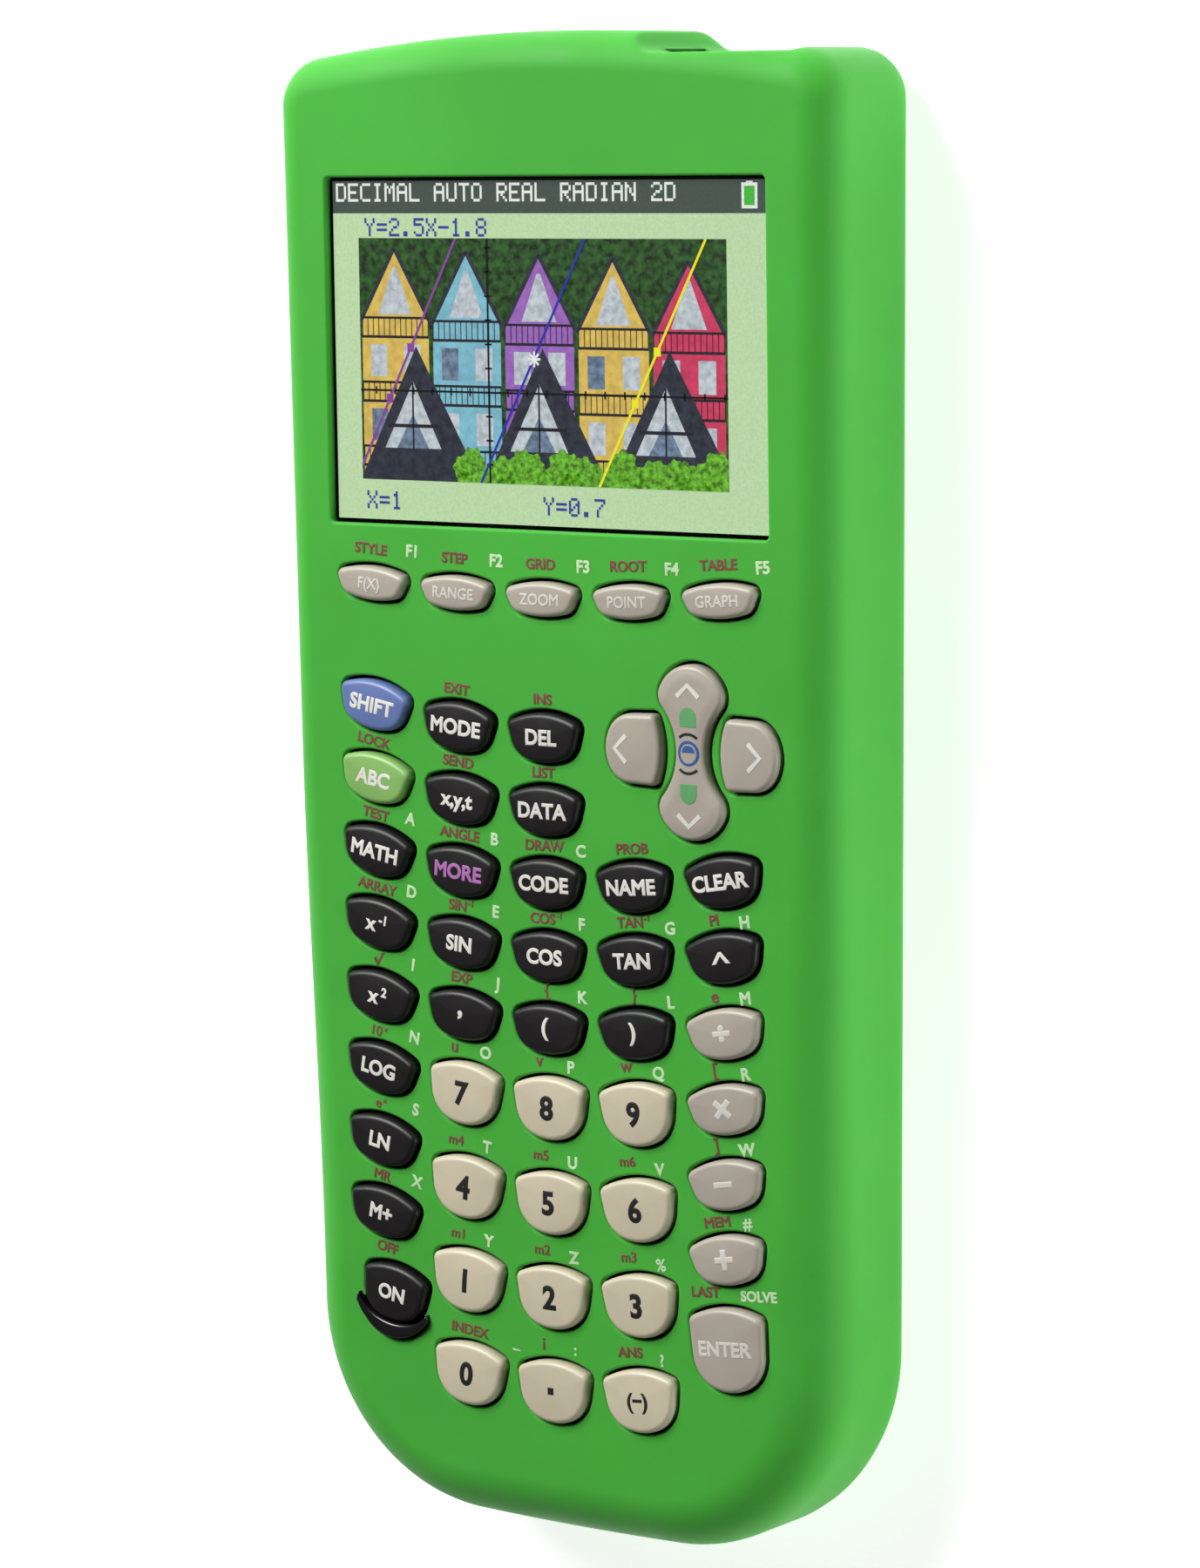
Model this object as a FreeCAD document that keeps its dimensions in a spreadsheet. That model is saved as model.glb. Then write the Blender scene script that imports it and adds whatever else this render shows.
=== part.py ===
"""Graphing calculator in a silicone sleeve, lying on its back.

Millimetres. +X points right across the keys, +Y points from the ENTER key towards the display,
+Z points out of the keys. The origin is the centre of the footprint on the surface below.
Node names are the Labels of the sub-parts, and each one becomes parts/LABEL.step.
"""

import FreeCAD, Part
import math
import os

import Sketcher
from FreeCAD import Placement, Rotation, Vector

UP = Vector(0, 0, 1)

# ---------------------------------------------------------------- driving dimensions

DIMENSIONS = [
    # the sleeve's outline: four corner arcs, two slanted sides, an arched top and bottom end
    ("body_up", 98.0, "sleeve: top end, from the middle"),
    ("body_down", 98.0, "sleeve: bottom end, from the middle"),
    ("body_half_top", 44.4, "sleeve: half width near the top end"),
    ("body_half_bottom", 42.4, "sleeve: half width near the bottom end"),
    ("body_corner_top", 6.5, "sleeve: plan radius of the top corners"),
    ("body_corner_bottom", 27.0, "sleeve: plan radius of the bottom corners"),
    ("body_arch_top", 270.0, "sleeve: plan radius of the top end"),
    ("body_arch_bottom", 600.0, "sleeve: plan radius of the bottom end"),
    ("sleeve_height", 21.0, "sleeve: face above the surface below"),
    ("sleeve_skin", 1.8, "sleeve: thickness over the face"),
    ("sleeve_lip", 1.8, "sleeve: thickness of the lip round the back"),
    ("sleeve_wall", 2.0, "sleeve: thickness of the sides"),
    ("sleeve_end", 1.2, "sleeve: extra thickness of the top end"),
    ("sleeve_front_round", 5.0, "sleeve: radius of the front edge"),
    ("sleeve_back_round", 2.5, "sleeve: radius of the back edge"),
    ("lip_width", 5.5, "sleeve: width of the lip round the back"),
    ("fit_gap", 0.05, "gap between pieces that touch"),
    ("notch_floor", 3.1, "sleeve: depth of the port notch in the top end"),
    ("notch_middle", 27.0, "sleeve: middle of the port notch"),
    ("notch_half", 9.5, "sleeve: half width of the notch floor"),
    ("notch_flare", 3.6, "sleeve: width of each notch flank"),
    ("port_room", 2.0, "sleeve: room beside the ports"),
    ("port_half_high", 4.4, "sleeve: half height of the port opening"),
    ("port_corner", 3.0, "sleeve: corner radius of the port opening"),
    # display
    ("screen_middle", 57.0, "display: middle, towards the top end"),
    ("screen_half_wide", 35.05, "display: half width seen through the sleeve"),
    ("screen_half_high", 22.6, "display: half height seen through the sleeve"),
    ("screen_corner", 0.6, "display: corner radius of the opening"),
    ("seat_corner", 2.0, "display: corner radius of the window's seat"),
    ("seat_ledge", 1.6, "display: width of the ledge under the window"),
    ("sight_corner", 1.0, "display: corner radius of the hole inside the ledge"),
    ("window_margin", 2.6, "display: window's flange beyond the opening, each side"),
    ("window_flange", 0.55, "display: thickness of the window's flange"),
    ("window_gap", 0.15, "display: gap round the window"),
    ("window_sink", 0.5, "display: top of the window below the sleeve's face"),
    ("window_skin", 0.5, "display: thickness of the window over the panel"),
    ("lcd_margin", 3.0, "display: panel's base beyond the opening, each side"),
    ("lcd_thick", 2.8, "display: thickness of the panel's base"),
    ("lcd_gap", 0.15, "display: gap over the panel's base and glass"),
    ("lcd_rim", 0.6, "display: panel's glass inside the opening, each side"),
    # case
    ("case_wall", 1.8, "case: wall thickness"),
    ("case_split", 7.0, "case: height of the line between the halves"),
    ("case_front_round", 3.0, "case: radius of the front edge"),
    ("case_back_round", 1.8, "case: radius of the back edge"),
    ("boss_radius", 2.3, "case: screw boss radius"),
    ("boss_gap", 0.5, "case: gap round a screw boss"),
    ("pilot_radius", 1.14, "case: pilot hole radius"),
    ("screw_gap", 0.1, "case: gap round a screw"),
    ("head_sink", 0.2, "screw: head below the back"),
    ("head_radius", 2.1, "screw: head radius"),
    ("head_height", 1.3, "screw: head height"),
    ("shank_radius", 1.1, "screw: shank radius"),
    ("shank_length", 8.5, "screw: shank length"),
    ("socket_radius", 1.0, "screw: radius of the socket's corners"),
    ("socket_depth", 0.8, "screw: depth of the socket"),
    ("screw_out", 36.5, "screws: top pair, from the middle"),
    ("screw_up", 86.0, "screws: top pair, towards the top end"),
    ("screw_side", 12.0, "screws: middle pair, from the middle"),
    ("screw_middle", 18.0, "screws: middle pair, towards the top end"),
    ("screw_in", 22.0, "screws: bottom pair, from the middle"),
    ("screw_down", -89.0, "screws: bottom pair, towards the top end"),
    # keys
    ("column_pitch", 13.95, "keys: distance between columns"),
    ("row_pitch", 9.52, "keys: distance between function rows"),
    ("digit_pitch", 12.55, "keys: distance between digit rows"),
    ("outer_pitch", 9.72, "keys: distance between keys of the outer columns"),
    ("smile", 0.6, "keys: rise of a row at one column from the middle"),
    ("menu_smile", 0.24, "keys: rise of the menu row at one column from the middle"),
    ("menu_row", 25.7, "keys: menu row"),
    ("function_row", 7.89, "keys: first function row, at the middle column"),
    ("digit_row", -40.5, "keys: first digit row, at the middle column"),
    ("outer_row", 10.62, "keys: first key of the outer columns"),
    ("arrow_row", 7.19, "arrow keys: middle"),
    ("arrow_column", 23.3, "arrow keys: middle of the rocker"),
    ("arrow_reach", 8.95, "arrow keys: left and right from the rocker"),
    ("key_top", 22.2, "keys: top of the caps"),
    ("key_foot", 16.2, "keys: underside of the caps"),
    ("key_flange", 0.55, "keys: flange beyond the cap"),
    ("flange_thick", 0.9, "keys: flange thickness"),
    ("case_clearance", 0.3, "keys: gap in the case's holes"),
    ("sleeve_clearance", 0.42, "keys: gap in the sleeve's holes"),
    ("cap_round", 0.7, "keys: radius of the cap's upper edge"),
    ("on_offset", 1.5, "ON key: distance inwards from its column"),
    ("on_row", -68.2, "ON key: middle"),
    ("enter_row", -69.0, "ENTER key: middle"),
    ("enter_tilt", 4.5, "ENTER key: tilt in degrees"),
    ("guard_half", 5.7, "ON guard: half width"),
    ("guard_depth", 3.9, "ON guard: how far the outer arc hangs below its tips"),
    ("guard_width", 2.0, "ON guard: width of the ridge"),
    ("guard_rise", -2.4, "ON guard: height of its tips from the key's middle"),
    ("guard_height", 2.5, "ON guard: height above the case"),
    ("guard_root", 0.5, "ON guard: how deep it is rooted in the case"),
    # rocker
    ("lobe_arch", 5.3, "rocker: radius of each end"),
    ("shoulder_radius", 2.4, "rocker: radius at the lobe's sides"),
    ("shoulder_out", 2.6, "rocker: shoulder centre from the long axis"),
    ("shoulder_up", 7.2, "rocker: shoulder centre from the pivot"),
    ("waist_half", 2.3, "rocker: half width at the waist"),
    ("rocker_foot", 16.6, "rocker: underside of the cap"),
    ("pivot_height", 17.2, "rocker: height of the pivot"),
    ("pivot_radius", 1.0, "rocker: radius of the pivot ridge"),
    ("pivot_length", 4.0, "rocker: length of the pivot ridge"),
    ("tab_half_wide", 3.5, "rocker: half width of the retaining tabs"),
    ("tab_half_long", 3.0, "rocker: half length of the retaining tabs"),
    ("tab_corner", 0.5, "rocker: corner radius of the retaining tabs"),
    ("tab_gap", 0.3, "rocker: gap over the retaining tabs"),
    # inside
    ("mat_floor", 14.1, "keypad mat: underside"),
    ("mat_sheet", 0.6, "keypad mat: sheet thickness"),
    ("dome_radius", 2.4, "keypad mat: dome radius"),
    ("dome_top", 16.15, "keypad mat: top of the domes"),
    ("mat_half", 34.4, "keypad mat: half width"),
    ("mat_down", -85.0, "keypad mat: bottom end"),
    ("mat_up", 30.6, "keypad mat: top end"),
    ("mat_corner", 13.0, "keypad mat: corner radius"),
    ("board_top", 14.05, "main board: upper face"),
    ("board_thick", 1.6, "main board: thickness"),
    ("board_gap", 0.6, "main board: gap to the case wall"),
    ("bay_middle", -30.0, "battery bay: middle"),
    ("bay_half_wide", 29.0, "battery bay: half width"),
    ("bay_half_high", 21.5, "battery bay: half height"),
    ("bay_corner", 2.5, "battery bay: corner radius"),
    ("bay_wall", 1.2, "battery bay: wall thickness"),
    ("bay_top", 9.8, "battery bay: top of the walls"),
    ("cover_margin", 2.0, "battery cover: plate beyond the bay"),
    ("cover_thick", 1.0, "battery cover: plate thickness"),
    ("cover_round", 0.3, "battery cover: radius of its edge"),
    ("plug_thick", 0.7, "battery cover: height of the plug inside the bay"),
    ("cover_gap", 0.3, "battery cover: gap round the plate"),
    ("pack_gap", 0.6, "battery pack: gap to the bay walls"),
    ("pack_foot", 3.9, "battery pack: underside"),
    ("pack_top", 9.4, "battery pack: upper side"),
    ("pack_round", 0.8, "battery pack: radius of its upper edge"),
    # ports in the top end
    ("usb_column", 21.0, "USB socket: middle"),
    ("usb_half_wide", 3.8, "USB socket: half width"),
    ("usb_half_high", 1.95, "USB socket: half height"),
    ("usb_metal", 0.35, "USB socket: metal thickness"),
    ("port_height", 10.3, "ports: height of both middles"),
    ("port_face", 94.2, "ports: outer end of both sockets"),
    ("port_gap", 0.2, "ports: gap in the case's holes"),
    ("port_cut", 8.0, "ports: depth of the cuts in the top end"),
    ("usb_corner", 0.6, "USB socket: corner radius of the case's hole"),
    ("usb_length", 7.5, "USB socket: length"),
    ("usb_back", 0.7, "USB socket: thickness of its back"),
    ("tongue_half_wide", 2.6, "USB socket: half width of the tongue"),
    ("tongue_half_high", 0.45, "USB socket: half height of the tongue"),
    ("tongue_sink", 0.9, "USB socket: tongue's end inside the mouth"),
    ("jack_column", 30.5, "link jack: middle"),
    ("jack_radius", 2.1, "link jack: barrel radius"),
    ("jack_bore", 1.28, "link jack: bore radius"),
    ("jack_length", 9.0, "link jack: length"),
    ("jack_back", 0.8, "link jack: thickness of its back"),
    ("jack_half_wide", 2.8, "link jack: half width of its block"),
    ("jack_nose", 3.9, "link jack: length of the barrel in front of the block"),
]

doc = FreeCAD.newDocument("graphing_calculator")
sheet = doc.addObject("Spreadsheet::Sheet", "Params")
for row, (alias, value, note) in enumerate(DIMENSIONS, start=1):
    sheet.set(f"A{row}", note)
    sheet.set(f"B{row}", str(value))
    sheet.setAlias(f"B{row}", alias)
doc.recompute()


class Size:
    """A length that carries its value and the words that bind it to the sheet."""

    def __init__(self, value, words=None):
        self.value = float(value)
        self.words = words or f"({value})"

    def __add__(self, other):
        other = as_size(other)
        return Size(self.value + other.value, f"({self.words} + {other.words})")

    def __sub__(self, other):
        other = as_size(other)
        return Size(self.value - other.value, f"({self.words} - {other.words})")

    def __mul__(self, number):
        return Size(self.value * number, f"({self.words} * {number})")

    def __neg__(self):
        return self * -1


def as_size(length):
    return length if isinstance(length, Size) else Size(length)


def cell(alias):
    """A driving dimension."""
    return Size(float(sheet.get(alias)), f"Params.{alias}")


def leg(long_side, short_side):
    """The other leg of a right triangle."""
    value = math.sqrt(long_side.value**2 - short_side.value**2)
    return Size(value, f"sqrt({long_side.words}^2 - {short_side.words}^2)")


NONE = Size(0)
FACE = cell("sleeve_height")
CASE_FACE = FACE - cell("sleeve_skin")
CASE_CEILING = CASE_FACE - cell("case_wall")
CASE_BACK = cell("sleeve_lip")
CASE_FLOOR = CASE_BACK + cell("case_wall")
CASE_INSET = cell("sleeve_wall")
CASE_DROP = cell("sleeve_end")
# how far a cut runs past the solid, and how far added material sinks into it
PAST = Size(1)
SINK = Size(0.1)
# the port sketches lie past the top end, on a plane whose normal points down the object
PORT_PLANE = -cell("body_up") - PAST


# ---------------------------------------------------------------- outlines


def shield(half_top, half_bottom, up, down, corner_top, corner_bottom, arch_top, arch_bottom):
    """The outline that the sleeve, the case and the key caps share.

    It has an arched top, two top corners, slanted sides, two bottom corners and an arched bottom.
    """
    sizes = {
        "half_top": half_top,
        "half_bottom": half_bottom,
        "up": up,
        "down": down,
        "corner_top": corner_top,
        "corner_bottom": corner_bottom,
        "arch_top": arch_top,
        "arch_bottom": arch_bottom,
    }
    return {name: as_size(length) for name, length in sizes.items()}


BODY = shield(
    cell("body_half_top"),
    cell("body_half_bottom"),
    cell("body_up"),
    cell("body_down"),
    cell("body_corner_top"),
    cell("body_corner_bottom"),
    cell("body_arch_top"),
    cell("body_arch_bottom"),
)
CAPS = {
    "menu": shield(5.6, 5.2, 2.2, 2.3, 0.9, 2.1, 18.0, 16.0),
    "function": shield(5.65, 5.3, 3.1, 3.4, 1.0, 3.3, 13.0, 9.5),
    "digit": shield(5.7, 5.4, 3.9, 4.4, 1.0, 4.6, 13.0, 7.2),
    "on": shield(5.3, 5.0, 3.6, 3.9, 0.9, 3.6, 12.0, 7.5),
    "enter": shield(5.7, 5.5, 5.2, 5.8, 1.0, 5.0, 13.0, 6.4),
    "arrow": shield(4.6, 4.5, 4.4, 4.4, 1.0, 3.8, 11.0, 5.2),
}


def shield_centres(outline, drop=NONE):
    """The sizes that place the corner circles: top x, top y, bottom x, bottom y."""
    top_x = outline["half_top"] - outline["corner_top"]
    bottom_x = outline["half_bottom"] - outline["corner_bottom"]
    rise = leg(outline["arch_top"] - outline["corner_top"], top_x)
    fall = leg(outline["arch_bottom"] - outline["corner_bottom"], bottom_x)
    top_y = outline["up"] - drop - outline["arch_top"] + rise
    bottom_y = outline["arch_bottom"] - outline["down"] - fall
    return top_x, top_y, bottom_x, bottom_y


def shield_edges(outline, inset=NONE, drop=NONE):
    """The shield's edges, anticlockwise: (centre, radius, start, end) or (start, end).

    inset moves the whole outline inwards, and drop lowers its top end alone.
    """
    top_x, top_y, bottom_x, bottom_y = (length.value for length in shield_centres(outline, drop))
    top_r = outline["corner_top"].value - inset.value
    bottom_r = outline["corner_bottom"].value - inset.value
    arch_top = outline["arch_top"].value - inset.value
    arch_bottom = outline["arch_bottom"].value - inset.value
    head = Vector(0, outline["up"].value - drop.value - outline["arch_top"].value, 0)
    foot = Vector(0, outline["arch_bottom"].value - outline["down"].value, 0)
    top = Vector(top_x, top_y, 0)
    bottom = Vector(bottom_x, bottom_y, 0)

    # the side line touches both corner circles
    along = bottom - top
    lean = (top_r - bottom_r) / along.Length
    along.normalize()
    out = along * lean + Vector(-along.y, along.x, 0) * math.sqrt(1 - lean**2)
    side_top = top + out * top_r
    side_bottom = bottom + out * bottom_r
    arch_end = head + (top - head).normalize() * arch_top
    foot_end = foot + (bottom - foot).normalize() * arch_bottom

    def left(point):
        return Vector(-point.x, point.y, 0)

    return [
        (head, arch_top, arch_end, left(arch_end)),
        (left(top), top_r, left(arch_end), left(side_top)),
        (left(side_top), left(side_bottom)),
        (left(bottom), bottom_r, left(side_bottom), left(foot_end)),
        (foot, arch_bottom, left(foot_end), foot_end),
        (bottom, bottom_r, foot_end, side_bottom),
        (side_bottom, side_top),
        (top, top_r, side_top, arch_end),
    ]


def rocker_edges(inset=NONE):
    """The rocker's edges, anticlockwise: arched ends, four shoulders and a hollow waist."""
    radius = cell("shoulder_radius").value
    shoulder = Vector(cell("shoulder_out").value, cell("shoulder_up").value, 0)
    # the end arc holds both shoulder circles, which it touches from inside
    reach = leg(cell("lobe_arch") - cell("shoulder_radius"), cell("shoulder_out"))
    end = Vector(0, shoulder.y - reach.value, 0)
    end_r = cell("lobe_arch").value - inset.value
    # the waist arc touches both shoulders and passes the waist's half width
    out = shoulder.x - cell("waist_half").value
    waist_r = (out**2 + shoulder.y**2 - radius**2) / (2 * (radius + out))
    waist = Vector(cell("waist_half").value + waist_r, 0, 0)
    shoulder_r = radius - inset.value
    waist_r = waist_r + inset.value
    end_point = end + (shoulder - end).normalize() * end_r
    waist_point = waist + (shoulder - waist).normalize() * waist_r

    def flip(point, x_sign, y_sign):
        return Vector(point.x * x_sign, point.y * y_sign, 0)

    return [
        (end, end_r, end_point, flip(end_point, -1, 1)),
        (flip(shoulder, -1, 1), shoulder_r, flip(end_point, -1, 1), flip(waist_point, -1, 1)),
        (flip(waist, -1, 1), -waist_r, flip(waist_point, -1, 1), flip(waist_point, -1, -1)),
        (flip(shoulder, -1, -1), shoulder_r, flip(waist_point, -1, -1), flip(end_point, -1, -1)),
        (flip(end, 1, -1), end_r, flip(end_point, -1, -1), flip(end_point, 1, -1)),
        (flip(shoulder, 1, -1), shoulder_r, flip(end_point, 1, -1), flip(waist_point, 1, -1)),
        (waist, -waist_r, flip(waist_point, 1, -1), waist_point),
        (shoulder, shoulder_r, waist_point, end_point),
    ]


def geometry(edges, place=None):
    """Sketch geometry for a closed outline. A negative radius marks a hollow arc."""
    place = place or Placement()
    turn = math.radians(place.Rotation.toEuler()[0])
    made = []
    for edge in edges:
        if len(edge) == 2:
            made.append(Part.LineSegment(place.multVec(edge[0]), place.multVec(edge[1])))
            continue
        centre, radius, start, end = edge
        if radius < 0:
            start, end = end, start
        first, last = (math.atan2((p - centre).y, (p - centre).x) + turn for p in (start, end))
        if last <= first:
            last += 2 * math.pi
        circle = Part.Circle(place.multVec(centre), UP, abs(radius))
        made.append(Part.ArcOfCircle(circle, first, last))
    return made


# ---------------------------------------------------------------- where the keys are


def key_spots():
    """Every key but the rocker, as {node: (kind, x, y, tilt in degrees)}."""
    spots = {}

    def tilt_at(rise, column):
        """Rows curve like a smile, and each key is tilted with its row."""
        slope = 2 * cell(rise).value * column / cell("column_pitch").value
        return math.degrees(math.atan(slope))

    def place(name, kind, column, base, rise):
        x = cell("column_pitch") * column
        y = base + cell(rise) * column**2
        spots[name] = (kind, x, y, tilt_at(rise, column))

    for column, name in enumerate(("equation", "window", "zoom", "trace", "graph"), start=-2):
        place(f"key_{name}", "menu", column, cell("menu_row"), "menu_smile")

    function_rows = [
        {-1: "mode", 0: "delete"},
        {-1: "variable", 0: "stat"},
        {-1: "apps", 0: "program", 1: "vars"},
        {-1: "sine", 0: "cosine", 1: "tangent"},
        {-1: "comma", 0: "open_paren", 1: "close_paren"},
    ]
    for step, names in enumerate(function_rows):
        for column, name in names.items():
            base = cell("function_row") - cell("row_pitch") * step
            place(f"key_{name}", "function", column, base, "smile")

    digit_rows = [("7", "8", "9"), ("4", "5", "6"), ("1", "2", "3"), ("0", "point", "negative")]
    for step, names in enumerate(digit_rows):
        for column, name in enumerate(names, start=-1):
            base = cell("digit_row") - cell("digit_pitch") * step
            place(f"key_{name}", "digit", column, base, "smile")

    outer_columns = {
        -2: ("second", "alpha", "math", "inverse", "square", "log", "ln", "store"),
        2: (None, None, "clear", "power", "divide", "multiply", "minus", "plus"),
    }
    for column, names in outer_columns.items():
        for step, name in enumerate(names):
            if name:
                x = cell("column_pitch") * column
                y = cell("outer_row") - cell("outer_pitch") * step
                spots[f"key_{name}"] = ("function", x, y, tilt_at("smile", column))

    right = cell("column_pitch") * 2
    spots["key_on"] = ("on", cell("on_offset") - right, cell("on_row"), tilt_at("smile", -2))
    spots["key_enter"] = ("enter", right, cell("enter_row"), cell("enter_tilt").value)
    for name, side in (("left", -1), ("right", 1)):
        x = cell("arrow_column") + cell("arrow_reach") * side
        spots[f"arrow_{name}"] = ("arrow", x, cell("arrow_row"), 90.0 * side)
    return spots


SPOTS = key_spots()


def hole_geometry(clearance):
    """The outlines of all the key holes, larger than the caps by clearance."""
    made = []
    for kind, x, y, tilt in SPOTS.values():
        spot = Placement(Vector(x.value, y.value, 0), Rotation(UP, tilt))
        made += geometry(shield_edges(CAPS[kind], -clearance), spot)
    rocker = Placement(Vector(cell("arrow_column").value, cell("arrow_row").value, 0), Rotation())
    return made + geometry(rocker_edges(-clearance), rocker)


# ---------------------------------------------------------------- sketches and features


def new_body(label):
    """An empty body whose Label is its node's name."""
    body = doc.addObject("PartDesign::Body", label)
    body.Label = label
    return body


def new_sketch(body, name, height=NONE, plane="XY_Plane"):
    """A sketch on one of the body's own origin planes, moved along its normal by height."""
    sketch = body.newObject("Sketcher::SketchObject", f"{body.Name}_{name}")
    support = [item for item in body.Origin.OriginFeatures if item.Role == plane][0]
    sketch.AttachmentSupport = [(support, "")]
    sketch.MapMode = "FlatFace"
    sketch.setExpression("AttachmentOffset.Base.z", height.words)
    return sketch


def constrain(sketch, kind, *items, length=None):
    """Add a constraint. A length also binds it to the sheet."""
    if length is None:
        sketch.addConstraint(Sketcher.Constraint(kind, *items))
        return
    index = sketch.addConstraint(Sketcher.Constraint(kind, *items, length.value))
    sketch.setExpression(f"Constraints[{index}]", length.words)


def shield_sketch(body, name, outline, height=NONE, inset=NONE, drop=NONE):
    """A fully constrained shield."""
    sketch = new_sketch(body, name, height)
    sketch.addGeometry(geometry(shield_edges(outline, inset, drop)), False)
    for edge in range(8):
        constrain(sketch, "Tangent", edge, 2, (edge + 1) % 8, 1)
    constrain(sketch, "Symmetric", 1, 3, 7, 3, -2)
    constrain(sketch, "Symmetric", 3, 3, 5, 3, -2)
    constrain(sketch, "Equal", 1, 7)
    constrain(sketch, "Equal", 3, 5)
    top_x, top_y, bottom_x, bottom_y = shield_centres(outline, drop)
    for edge, x, y in ((7, top_x, top_y), (5, bottom_x, bottom_y)):
        constrain(sketch, "DistanceX", -1, 1, edge, 3, length=x)
        constrain(sketch, "DistanceY", -1, 1, edge, 3, length=y)
    radii = {0: "arch_top", 7: "corner_top", 5: "corner_bottom", 4: "arch_bottom"}
    for edge, radius in radii.items():
        constrain(sketch, "Radius", edge, length=outline[radius] - inset)
    return sketch


def box_sketch(body, name, low, high, corner, height=NONE, plane="XY_Plane"):
    """A fully constrained rectangle with round corners. low and high are its corners' (x, y)."""
    sketch = new_sketch(body, name, height, plane)
    (x0, y0), (x1, y1) = [(x.value, y.value) for x, y in (low, high)]
    r = corner.value
    starts = [(x0 + r, y0), (x1, y0 + r), (x1 - r, y1), (x0, y1 - r)]
    ends = [(x1 - r, y0), (x1, y1 - r), (x0 + r, y1), (x0, y0 + r)]
    centres = [(x1 - r, y0 + r), (x1 - r, y1 - r), (x0 + r, y1 - r), (x0 + r, y0 + r)]
    edges = []
    for side in range(4):
        start, end, centre = (Vector(*spots[side], 0) for spots in (starts, ends, centres))
        edges.append((start, end))
        edges.append((centre, r, end, Vector(*starts[(side + 1) % 4], 0)))
    sketch.addGeometry(geometry(edges), False)
    for edge in range(8):
        constrain(sketch, "Tangent", edge, 2, (edge + 1) % 8, 1)
    for edge in (3, 5, 7):
        constrain(sketch, "Equal", 1, edge)
    constrain(sketch, "Radius", 1, length=corner)
    for edge in (0, 4):
        constrain(sketch, "Horizontal", edge)
    constrain(sketch, "Vertical", 2)
    constrain(sketch, "DistanceY", -1, 1, 0, 1, length=low[1])
    constrain(sketch, "DistanceY", -1, 1, 4, 1, length=high[1])
    constrain(sketch, "DistanceX", -1, 1, 2, 1, length=high[0])
    constrain(sketch, "DistanceX", -1, 1, 6, 1, length=low[0])
    return sketch


def circles_sketch(body, name, spots, radius, height=NONE, plane="XY_Plane"):
    """Circles of one radius at (x, y) spots."""
    sketch = new_sketch(body, name, height, plane)
    for number, (x, y) in enumerate(spots):
        sketch.addGeometry(Part.Circle(Vector(x.value, y.value, 0), UP, radius.value), False)
        constrain(sketch, "Radius", number, length=radius)
        constrain(sketch, "DistanceX", -1, 1, number, 3, length=x)
        constrain(sketch, "DistanceY", -1, 1, number, 3, length=y)
    return sketch


def outline_sketch(body, name, made, height=NONE, plane="XY_Plane"):
    """A sketch of ready geometry, for outlines that follow other outlines."""
    sketch = new_sketch(body, name, height, plane)
    sketch.addGeometry(made, False)
    return sketch


def pad(body, sketch, length, down=False):
    """Add material along the sketch's normal, or against it."""
    feature = body.newObject("PartDesign::Pad", f"{sketch.Name}_pad")
    feature.Profile = sketch
    feature.setExpression("Length", length.words)
    feature.Reversed = down
    return feature


def pocket(body, sketch, length, up=False):
    """Cut against the sketch's normal, or along it."""
    feature = body.newObject("PartDesign::Pocket", f"{sketch.Name}_cut")
    feature.Profile = sketch
    feature.setExpression("Length", length.words)
    feature.Reversed = up
    return feature


def level_face(feature, height):
    """The name of the largest flat face of a feature at a height."""
    doc.recompute()
    found = []
    for number, face in enumerate(feature.Shape.Faces, start=1):
        level = abs(face.BoundBox.ZMin - height.value) < 1e-4
        if level and face.BoundBox.ZLength < 1e-4:
            found.append((face.Area, f"Face{number}"))
    return max(found)[1]


def round_face(body, feature, height, radius):
    """Round every edge of a feature's flat face at a height."""
    fillet = body.newObject("PartDesign::Fillet", f"{feature.Name}_round")
    fillet.Base = (feature, [level_face(feature, height)])
    fillet.setExpression("Radius", radius.words)
    return fillet


# ---------------------------------------------------------------- sleeve


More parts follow.
